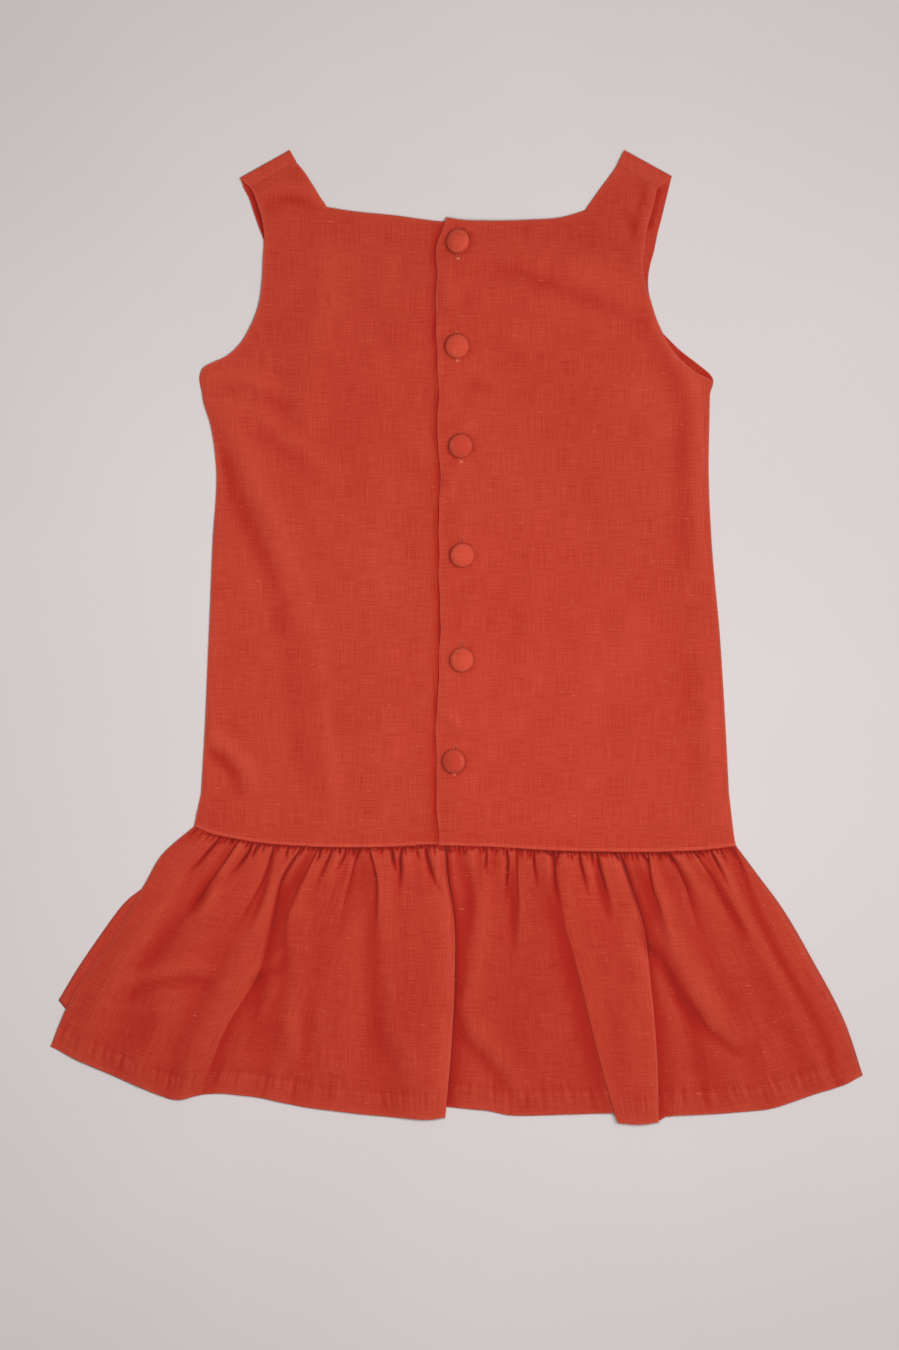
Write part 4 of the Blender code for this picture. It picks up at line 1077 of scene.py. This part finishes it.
HEM_DEPTH = 14.5
FLOUNCE_THICKNESS = 0.45
HEM_STITCH = FLOUNCE_LENGTH - HEM_DEPTH
COLUMN_STEP = 0.53
FLOUNCE_LEVEL = 2.1
LOWEST_FLOUNCE = 0.3
LAST_STRIP_X = 171.4

# The rows, from just above the seam to the hem's edge
near_seam = [-0.9, -0.3, 0.3, 0.9, 1.6, 2.4, 3.4, 4.6, 6.0, 7.7, 9.7, 12.0]
down_the_skirt = list(np.linspace(12.0, HEM_STITCH, 44)[1:])
hem_rows = [151.1, 152.0, 153.4, 155.4, 157.8, 160.4, 162.5, 163.9, 164.7, 165.0]
distance = np.array(near_seam + down_the_skirt + hem_rows)[:, None]
hem_stitch_row = len(near_seam) + len(down_the_skirt) - 1
share = distance / FLOUNCE_LENGTH
chance = random.Random(7)

tucks = {t.x0: t for t in TUCKS}
guide_x = smooth(share[:, 0], SHARES, np.array([f[:6] for f in FOLDS]).T)
guide_x0 = np.array([f.x0 for f in FOLDS])


def between_folds(x0):
    """Which fold a place on the waist comes after, and how far it is on its way to the next."""
    k = min(max(int(np.searchsorted(guide_x0, x0 + 1e-6)) - 1, 0), len(FOLDS) - 2)
    return k, (x0 - guide_x0[k]) / (guide_x0[k + 1] - guide_x0[k])


def down_from(x0):
    """The x of the cloth that starts at a place on the waist, at every row."""
    k, part = between_folds(x0)
    return guide_x[:, k] + (guide_x[:, k + 1] - guide_x[:, k]) * part


def tuck_height(tuck):
    """How high a tuck's upper layer lies over the other, at every row."""
    long = tuck.end > 1.0
    spread = 0.35 + 0.65 * ease(share / 0.6) if long else 0.5 + 0.5 * ease(share / 0.08)
    fade = 1.0 - ease((share - 0.5 * tuck.end) / (0.5 * tuck.end))
    return (abs(tuck.over) * spread * fade * ease(distance / 3.0))[:, 0]


# The columns: one down each fold, or nine across the edge of a tuck that is folded crisply, and
# others between the folds, closer together beside them
Column = namedtuple("Column", "x0 at step tuck")
flounce_columns = []
widths = {f.x0: np.zeros(len(share)) for f in FOLDS}
for tuck in TUCKS:
    if not tuck.slope:
        widths[tuck.x0] = 0.45 + 0.35 * np.minimum(tuck_height(tuck) / 3.0, 1.0)
for a, b in zip(FOLDS, FOLDS[1:]):
    at = down_from(a.x0)
    steps = TUCK_STEPS if widths[a.x0].any() else (0.0,)
    flounce_columns += [Column(a.x0, at, step, tucks.get(a.x0)) for step in steps]
    count = max(3, round((b.x0 - a.x0) / COLUMN_STEP))
    start, end = at + widths[a.x0], down_from(b.x0) - widths[b.x0]
    for i in range(1, count):
        part = i / count - 0.25 * math.sin(2 * math.pi * i / count) / (2 * math.pi)
        place = start + (end - start) * part
        flounce_columns.append(Column(a.x0 + (b.x0 - a.x0) * part, place, 0.0, None))
flounce_columns.append(Column(FOLDS[-1].x0, down_from(FOLDS[-1].x0), 0.0, None))

# The flat outline, from the seam to the hem, whose line is softened except by the tucks' corners
x0 = np.array([c.x0 for c in flounce_columns])[None]
x = np.stack([c.at for c in flounce_columns], axis=1)
hem_x = np.array([c.at[-1] + 1.3 * c.step for c in flounce_columns])
top = waist_y(x0) - 0.15
hem_places, hem_levels = np.array(HEM).T
sharp = np.interp(hem_x, hem_places, hem_levels)
beside = [np.interp(hem_x + off, hem_places, hem_levels) for off in (-5, -3, -1, 1, 3, 5)]
tuck_ends = [down_from(t.x0)[-1] for t in TUCKS if t.end > WHOLE_AT_HEM]
to_tuck = np.min([np.abs(hem_x - end) for end in tuck_ends], axis=0)
hem = (sharp + (np.mean(beside, axis=0) - sharp) * ease((to_tuck - 5.0) / 3.0))[None]
y = top + (hem - top) * share
below_seam = np.maximum(distance, 0.0)

# The hollows beside the folds, the gathers with the narrow slits in them, and the broad hollows.
# The slits and the broad hollows are also given painted shade. Little gathers fill the seam between
# those of the table.
hollow, slit_shade, basin_shade = np.ones(x.shape), np.zeros(x.shape), np.zeros(x.shape)
for fold in FOLDS[1:-1]:
    off = x - down_from(fold.x0)[:, None]
    tuck = tucks.get(fold.x0)
    steep = math.copysign(1.0, tuck.over) if tuck else 1.0
    depth = chance.uniform(0.85, 1.0) * (1.0 - ease((share - 0.4 * fold.run) / (0.6 * fold.run)))
    width = 0.8 * chance.uniform(0.85, 1.2) + 6.0 * np.minimum(share, 0.8)
    width = width * np.where(off * steep > 0, 0.6, 1.4)
    hollow *= 1.0 - depth * np.exp(-((np.abs(off) / width) ** 1.4))
    narrow = depth * np.exp(-((np.abs(off) / (0.5 + 1.6 * share)) ** 1.5))
    slit_shade = np.maximum(slit_shade, narrow * (1.0 - 0.6 * ease(share / 0.5)))
measured = [g.line[0][0] for g in GATHERS] + [f.x0 for f in FOLDS]
little_gathers = []
for place in np.arange(-159.0, 171.0, 2.5):
    start = place + chance.uniform(-0.9, 0.9)
    if min(abs(start - m) for m in measured) > 1.5:
        fall, seam_y = chance.uniform(2.5, 8.0), float(waist_y(start))
        lean = (down_from(start)[len(near_seam) - 1] - start) / near_seam[-1]
        foot = (start + lean * fall, seam_y - fall)
        little_gathers.append(Gather(chance.uniform(0.5, 0.95), 0.62, ((start, seam_y), foot)))
for gather in (*GATHERS, *little_gathers):
    off, _, along = from_line(gather.line, x, y)
    fade = gather.depth * (1.0 - ease((along - 0.35) / 0.65))
    width = gather.width * (1.0 + 0.7 * along)
    hollow *= 1.0 - fade * np.exp(-((off / width) ** 1.5))
    slit_shade = np.maximum(slit_shade, fade * np.exp(-((off / (0.62 * gather.width)) ** 1.5)))
for basin in HOLLOWS:
    off, _, along = from_line(basin.line, x, y)
    fade = np.sin(math.pi * np.clip(along, 0.0, 1.0)) ** 0.7
    basin_depth = basin.depth * fade * bell(off, basin.width)
    hollow *= 1.0 - basin_depth
    basin_shade = np.maximum(basin_shade, basin_depth)

# The height: plump at the seam, flatter further down, with a swell between two folds
puffed = 1.0 + 0.5 * soft_waves(x0, 0.0 * x0, 10.0, 53) * (1.0 - ease(share / 0.25))
puffed = puffed * (1.0 + 0.5 * np.exp(-below_seam / 14.0))
plateau = GATHER_RISE * puffed * (0.25 + 0.75 * ease(distance / 2.6))
height = plateau * (1.0 - 0.5 * ease(share / 0.8)) * hollow
for column, place in enumerate(x0[0]):
    k, part = between_folds(place)
    wave = 0.8 * FOLDS[k].wave * math.sin(math.pi * min(max(part, 0.0), 1.0)) ** 1.7
    height[:, column] += wave * ease(share[:, 0] / 0.6)

# The tucks: the upper layer is lifted and its edge turned under, with painted shade below it
shift, shade_under_tuck = np.zeros(x.shape), np.zeros(x.shape)
worn = np.zeros(x.shape)
for tuck in TUCKS:
    lift, place = tuck_height(tuck), down_from(tuck.x0)
    high = -1.0 if tuck.over < 0 else 1.0
    for column, c in enumerate(flounce_columns):
        if c.tuck is tuck and tuck.slope:
            height[:, column] += lift
        elif c.tuck is tuck:
            height[:, column] += lift * ease((c.step * high + 0.62) / 1.24)
            turn = np.minimum(1.4, 0.35 * lift) * math.sin(math.pi * c.step)
            shift[:, column] = widths[tuck.x0] * c.step - turn
            worn[:, column] += 0.3 * np.clip(lift, 0, 1) * (c.step * high > 0.2)
        else:
            off = np.abs(c.at - place)
            upper = (c.x0 - tuck.x0) * high > 0
            slope = np.exp(-off / tuck.slope) if tuck.slope else 0.0
            height[:, column] += lift * (np.exp(-off / tuck.reach) if upper else slope)
            if tuck.end > 1.0 and not upper:
                line = 0.45 * np.exp(-off / (1.9 if tuck.slope else 1.3))
                shade_under_tuck[:, column] = np.maximum(shade_under_tuck[:, column], line)
x = x + shift

# The creases, and the painted shade: a little darker all over, darker in hollows, in the gathers'
# narrow slits, in the broad hollows, under the tucks and below the seam, and lighter on raised
# cloth, at the far left and in the last strip
to_edge = np.minimum(x0 - FOLDS[0].x0, FOLDS[-1].x0 - x0)
to_side = np.minimum(x - x[:, :1], x[:, -1:] - x)
height += 1.2 * creased(x, y, FLOUNCE_CREASES) * ease(distance / 12.0)
height += 0.25 * soft_waves(x, y, 42.0, 51) * ease(distance / 20.0)
height += 0.08 * soft_waves(x, y, 9.0, 52)
height = np.maximum(height, -0.1) * ease(to_edge / 14.0)
in_last_strip = ease((x0 - LAST_STRIP_X) / 0.8)
below = depth_below(np.dstack([x, y, height]), 7.0) * (1.0 - 0.8 * in_last_strip)
painted_shade = 0.34 + 0.62 * below + 0.38 * basin_shade + shade_under_tuck
painted_shade -= 0.3 * ease((-150.0 - x0) / 9.0) + 0.35 * in_last_strip
painted_shade += 0.25 * np.exp(-below_seam / 7.0)
painted_shade += slit_shade * (0.8 + 0.9 * np.exp(-below_seam / 12.0))
ragged = 0.5 + 0.5 * soft_waves(x0, 0.0 * x0, 3.2, 54)
painted_shade += (0.1 + 0.4 * ragged) * bell(distance - 0.3, 0.55)
at_lap = ease((30.0 - np.abs(x - 2.0)) / 16.0)
height += 0.9 * at_lap * (1.0 - ease(share / 0.12))

# The hem, turned up inside and puckered by its stitches, comes down to the table
arc = np.hypot(np.hypot(np.diff(x), np.diff(y)), np.diff(height))[hem_stitch_row - 12]
around = np.concatenate([[0.0], np.cumsum(arc)])[None]
puckers = np.sin(around * 2 * math.pi / 4.7 + 1.3 * np.sin(around / 11.0))
puckers = puckers + 0.8 * np.sin(around * 2 * math.pi / 8.3 + 2.0)
past_stitch = distance - HEM_STITCH
in_hem = ease(past_stitch / 1.4)
bunched = puckers * bell(past_stitch - 4.0, 6.0)
# Painted shade along the hem's stitches, painted light and shade on the puckers' crests and hollows,
# and painted light on the raised, doubled hem
painted_shade += 0.12 * bell(past_stitch, 0.9) - 0.2 * bunched - 0.15 * in_hem
height += 0.22 * in_hem + 0.16 * bunched - 0.16 * bell(past_stitch, 0.8)
to_table = ease((past_stitch + 5.0) / 19.0)
height -= to_table * (1.3 + 0.2 * np.maximum(height, 0.0))
height -= 0.3 * (1.0 - ease((FLOUNCE_LENGTH - distance) / 1.2)) ** 1.5
height -= 0.6 * (1.0 - ease((distance + 0.9) / 1.9)) + 0.9 * (1.0 - ease(to_side / 3.0)) ** 1.5
z = np.maximum(FLOUNCE_LEVEL + height, LOWEST_FLOUNCE)
worn += 0.7 * np.exp(-(FLOUNCE_LENGTH - distance) / 1.1) + 0.8 * np.exp(-to_side / 1.2)
cut = np.dstack(np.broadcast_arrays(around, -distance))
flounce_points = np.dstack([x, y, z])
worn = np.clip(worn, 0.0, 1.0)
back_flounce = lay_cloth(
    "back_flounce_cloth", flounce_points, worn, painted_shade, cut, thickness=FLOUNCE_THICKNESS
)
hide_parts("skirt_back")


# The six buttons. Each is a metal dome covered with a round of the same linen, pulled tight over
# its rim, and sewn on by a short shank of thread that comes up through the buttonhole.

BUTTON_RADIUS = 7.5
BUTTON_HEIGHT = 5.0
BUTTON_RIM = 1.2
BUTTON_LIFT = 0.4
CROWN_STEPS = 14
SHANK_RADIUS = 0.8

# The underside's outline: each point's radius, and its height over the button's lowest point
BUTTON_UNDER = (
    (7.46, 0.8),
    (7.25, 0.5),
    (6.8, 0.18),
    (6.1, 0.1),
    (4.0, 0.15),
    (2.0, 0.1),
    (0.0, 0.1),
)

# Where the crowns of some buttons are rubbed pale
RUBBED_SPOTS = {
    2: (Point(-1.6, 176.4), Point(-0.9, 175.4)),
    3: (Point(-2.5, 119.4), Point(-2.6, 117.6)),
    4: (Point(-0.7, 50.7), Point(0.2, 47.7)),
    5: (Point(-1.3, -12.9), Point(-1.2, -15.0)),
    6: (Point(3.6, -78.4), Point(3.3, -75.2)),
}
BUTTON_DARK = (0.468, 0.030, 0.0117, 1.0)
BUTTON_LIGHT = (0.662, 0.0835, 0.0408, 1.0)
THREAD_DARK = (0.44, 0.034, 0.016, 1.0)
THREAD_LIGHT = (0.62, 0.085, 0.046, 1.0)
button_finish = linen("covered_linen", BUTTON_DARK, BUTTON_LIGHT, wear=0.4, gloss=0.3)


def thread(name, dark, light, roughness, relief=0.0):
    """Sewing thread, twisted from fine strands."""
    finish = Finish(name, {"Specular IOR Level": 0.3, "Sheen Weight": 0.1})
    twist = finish.noise(finish.object_place(), (1.6, 1.6, 1.6))
    finish.feed("Base Color", finish.mix(twist, dark, light))
    finish.feed("Roughness", roughness + twist * 0.2)
    if relief:
        finish.bump(twist, 0.0001, relief)
    return finish.material


sewing_thread = thread("sewing_thread", THREAD_DARK, THREAD_LIGHT, 0.72, relief=0.6)


def covered_button(number, spot):
    """A dome spun from its outline, leaning the way that it has pulled on its buttonhole."""
    shape = bmesh.new()
    flat = shape.loops.layers.uv.new("cut")
    rubbed = shape.verts.layers.float.new("worn")
    shade_layer = shape.verts.layers.float.new("painted_shade")
    crown = [math.pi / 2 * step / CROWN_STEPS for step in range(CROWN_STEPS + 1)]
    height = BUTTON_HEIGHT - BUTTON_RIM
    outline = [(BUTTON_RADIUS * math.sin(a), BUTTON_RIM + height * math.cos(a)) for a in crown]
    outline += list(BUTTON_UNDER)
    corners = [shape.verts.new((r, 0.0, h)) for r, h in outline]
    edges = [shape.edges.new(pair) for pair in zip(corners, corners[1:])]
    bmesh.ops.spin(
        shape,
        geom=corners + edges,
        cent=(0.0, 0.0, 0.0),
        axis=(0.0, 0.0, 1.0),
        angle=2 * math.pi,
        steps=56,
        use_merge=True,
    )
    bmesh.ops.remove_doubles(shape, verts=shape.verts, dist=0.001)
    bmesh.ops.recalc_face_normals(shape, faces=shape.faces)
    chance = random.Random(100 + number)
    dents = [(chance.uniform(0, 2 * math.pi), chance.uniform(0.3, 1.0)) for _ in range(3)]
    for corner in shape.verts:
        radius = math.hypot(corner.co.x, corner.co.y)
        turn = math.atan2(corner.co.y, corner.co.x)
        rim = (radius / BUTTON_RADIUS) ** 8
        pull = math.sin(17 * turn + dents[0][0]) + 0.7 * math.sin(29 * turn + dents[1][0])
        corner.co.z += 0.06 * rim * pull - 0.12 * rim * math.cos(turn - dents[2][0])
        corner[rubbed] = 0.15 + 0.6 * bell(radius - 6.6, 1.0) * (corner.co.z > BUTTON_RIM)
        # Painted shade: each button's own, under the button, and towards its rim
        corner[shade_layer] = spot.deep + 0.6 * (corner.co.z < 1.0) + 0.3 * ease((radius - 6.3) / 1.0)
    for face in shape.faces:
        for loop in face.loops:
            loop[flat].uv = (loop.vert.co.x * MM + 0.02 * number, loop.vert.co.y * MM)
    lean, towards = math.radians(spot.lean), math.radians(spot.towards)
    base = LAP_LEVEL + BUTTON_LIFT + (BUTTON_RADIUS - 1.0) * math.sin(lean)
    tilt = Matrix.Rotation(lean, 4, Vector((-math.sin(towards), math.cos(towards), 0.0)))
    turned = Matrix.Rotation(chance.uniform(-0.5, 0.5), 4, "Z")
    place = Matrix.Translation((spot.x, spot.y, base)) @ tilt @ turned
    bmesh.ops.transform(shape, matrix=place, verts=shape.verts)
    for corner in shape.verts:
        for rub in RUBBED_SPOTS.get(number, ()):
            off = math.hypot(corner.co.x - rub.x, corner.co.y - rub.y)
            corner[rubbed] += 0.9 * bell(off, 0.9) * (corner.co.z > base + 1.0)
    low, high = BACK_LEVEL + 0.3, base + 1.2
    shank = bmesh.ops.create_cone(
        shape,
        cap_ends=True,
        segments=14,
        radius1=SHANK_RADIUS,
        radius2=SHANK_RADIUS,
        depth=high - low,
        matrix=Matrix.Translation((spot.x, spot.y, (low + high) / 2)),
    )
    for face in {f for corner in shank["verts"] for f in corner.link_faces}:
        face.material_index = 1
    bmesh.ops.scale(shape, vec=(MM, MM, MM), verts=shape.verts)
    piece = finish_piece(f"covered_button_{number}", shape, button_finish)
    piece.data.materials.append(sewing_thread)
    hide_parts(f"button_{number}")
    return piece


for number, spot in enumerate(BUTTONS, 1):
    covered_button(number, spot)


# The sewing. Thread a little lighter than the cloth: a row of stitches beside the waist seam, the
# row that holds the hem, and close stitches round each buttonhole with a bar at its ends.

STITCH_SIDES, STITCH_RINGS = 6, 5
WAIST_STITCH, HEM_STITCH_LENGTH, STITCH_GAP, SEWING_WIDTH = 2.1, 2.6, 0.8, 0.34
BUTTONHOLE_STITCH, BAR_STITCH = (1.7, 0.62), (2.4, 0.5)
PALE_THREAD_DARK = (0.58, 0.10, 0.055, 1.0)
PALE_THREAD_LIGHT = (0.78, 0.20, 0.12, 1.0)
pale_thread = thread("pale_thread", PALE_THREAD_DARK, PALE_THREAD_LIGHT, 0.7)
Stitch = namedtuple("Stitch", "place along length width")


def sew(name, stitches, finish):
    """A row of stitches as one piece: each a short, slightly flattened length of thread."""
    shape = bmesh.new()
    for s in stitches:
        along = Vector(s.along).normalized()
        side = Vector((0.0, 0.0, 1.0)).cross(along).normalized()
        up = along.cross(side)
        turn = Matrix((along, side, up)).transposed().to_4x4()
        size = Matrix.Diagonal((s.length / 2, s.width / 2, s.width / 3, 1.0))
        place = Matrix.Scale(MM, 4) @ Matrix.Translation(Vector(s.place)) @ turn @ size
        lying = place @ Matrix.Rotation(math.pi / 2, 4, "Y")
        bmesh.ops.create_uvsphere(
            shape, u_segments=STITCH_SIDES, v_segments=STITCH_RINGS, radius=1.0, matrix=lying
        )
    piece = finish_piece(name, shape, finish)
    return piece


def row_of_stitches(line, length, lift, seed):
    """Stitches one after another along a line on the cloth."""
    chance = random.Random(seed)
    line = line[~np.isnan(line[:, 0])]
    walked = np.concatenate([[0.0], np.cumsum(np.linalg.norm(np.diff(line, axis=0), axis=1))])
    stitches, at = [], 1.5
    while at + length < walked[-1]:
        ends = [[np.interp(p, walked, axis) for axis in line.T] for p in (at, at + length)]
        a, b = np.array(ends)
        if (b - a)[0] > 0.5 * length:
            middle = (a + b) / 2 + (0.0, chance.uniform(-0.08, 0.08), lift)
            sewn = length * chance.uniform(0.88, 1.0)
            stitches.append(Stitch(middle, b - a, sewn, SEWING_WIDTH))
        at += length + STITCH_GAP
    return stitches


left_row = left_points[EDGE_STITCH_ROW]
right_row = right_points[EDGE_STITCH_ROW]
lift = CLOTH / 2 + 0.02
seen = left_row[:, 0] < LAST_LEFT_STITCH_X
waist = row_of_stitches(left_row[seen], WAIST_STITCH, lift, 61)
waist += row_of_stitches(right_row, WAIST_STITCH, lift, 62)
sew("waist_stitches", waist, sewing_thread)
hem_line = flounce_points[hem_stitch_row]
hem_row = row_of_stitches(hem_line, HEM_STITCH_LENGTH, FLOUNCE_THICKNESS / 2 + 0.03, 63)
sew("hem_stitches", hem_row, sewing_thread)

chance = random.Random(64)
for number, spot in enumerate(BUTTONS, 1):
    stitches, bars = [], []
    level = LAP_LEVEL + 0.16 + CLOTH / 2
    for step in range(-12, 13):
        y = spot.slit_y + step * SLIT_HALF_LENGTH / 12.5
        room = SHANK_ROOM * bell(y - spot.y, 2.0)
        for side in (-1.0, 1.0):
            x = float(slit_x(y)) + side * (SLIT_HALF_WIDTH + room + 0.75)
            along = (1.0, chance.uniform(-0.1, 0.1), 0.0)
            stitches.append(Stitch((x, y, level - 0.05), along, *BUTTONHOLE_STITCH))
    for end in (-1.0, 1.0):
        for bar in range(4):
            y = spot.slit_y + end * (SLIT_HALF_LENGTH + 0.2 - 0.42 * bar)
            x = float(slit_x(y)) + chance.uniform(-0.12, 0.12)
            along = (1.0, chance.uniform(-0.12, 0.12), 0.0)
            row = bars if end < 0 else stitches
            row.append(Stitch((x, y, level + 0.02), along, *BAR_STITCH))
    sew(f"buttonhole_stitches_{number}", stitches, sewing_thread)
    sew(f"buttonhole_bars_{number}", bars, pale_thread)


# The table that the dress lies on: a plain pale surface, painted, with a faint unevenness.

TABLE_HALF_WIDTH, TABLE_DROP = 1.6, 0.0003
PAINT_DARK = (0.60, 0.560, 0.555, 1.0)
PAINT_LIGHT = (0.69, 0.645, 0.64, 1.0)
table_paint = Finish("pale_paint", {"Specular IOR Level": 0.2})
place = table_paint.object_place()
cloud = table_paint.noise(place, (0.004, 0.004, 0.004), detail=4.0)
speck = table_paint.noise(place, (0.6, 0.6, 0.6), detail=3.0)
tone = (cloud - 0.5) * 0.8 + (speck - 0.5) * 0.3 + 0.5
table_paint.feed("Base Color", table_paint.mix(tone, PAINT_DARK, PAINT_LIGHT))
table_paint.feed("Roughness", 0.85 + speck * 0.1)
table_paint.bump(speck, 0.0002, 0.25)
shape = bmesh.new()
bmesh.ops.create_grid(shape, x_segments=8, y_segments=8, size=TABLE_HALF_WIDTH)
bmesh.ops.translate(shape, vec=(0.0, 0.0, -TABLE_DROP), verts=shape.verts)
mesh = bpy.data.meshes.new("table_top")
shape.to_mesh(mesh)
shape.free()
mesh.materials.append(table_paint.material)
table_top = bpy.data.objects.new("table_top", mesh)
bpy.context.scene.collection.objects.link(table_top)


# The light and the camera: one large soft light high on the upper right, a weaker one overhead,
# pale light from all round, and a camera straight above.

def soft_light(name, place, aim, size, power, colour):
    lamp = bpy.data.lights.new(name, "AREA")
    lamp.shape = "SQUARE"
    lamp.size = size
    lamp.energy = power
    lamp.color = colour
    light = bpy.data.objects.new(name, lamp)
    light.location = place
    light.rotation_euler = (Vector(aim) - Vector(place)).to_track_quat("-Z", "Y").to_euler()
    light.visible_camera = False
    bpy.context.scene.collection.objects.link(light)


soft_light("window", (1.5, 0.5, 3.4), (0.0, 0.0, 0.0), 1.8, 69.0, (1.0, 0.985, 0.97))
soft_light("ceiling", (0.03, -0.06, 0.85), (0.03, -0.06, 0.0), 0.4, 4.4, (1.0, 0.99, 0.99))
world = bpy.data.worlds.new("room")
world.use_nodes = True
background = world.node_tree.nodes["Background"]
background.inputs["Color"].default_value = (1.0, 0.97, 0.97, 1.0)
background.inputs["Strength"].default_value = 0.15
bpy.context.scene.world = world
bpy.context.scene.view_settings.view_transform = "Standard"
bpy.context.scene.view_settings.look = "None"

PHOTO_WIDTH, PHOTO_HEIGHT, PIXEL = 899, 1350, 0.00062
ORIGIN_COLUMN, ORIGIN_ROW = 456.5, 637.2
CAMERA_HEIGHT, SENSOR = 2.0, 36.0
lens = bpy.data.cameras.new("from_above")
lens.sensor_width = SENSOR
lens.lens = SENSOR * CAMERA_HEIGHT / (PHOTO_HEIGHT * PIXEL)
camera = bpy.data.objects.new("from_above", lens)
aim_x = (PHOTO_WIDTH / 2 - ORIGIN_COLUMN) * PIXEL
aim_y = (ORIGIN_ROW - PHOTO_HEIGHT / 2) * PIXEL
camera.location = (aim_x, aim_y, CAMERA_HEIGHT)
bpy.context.scene.collection.objects.link(camera)
bpy.context.scene.camera = camera
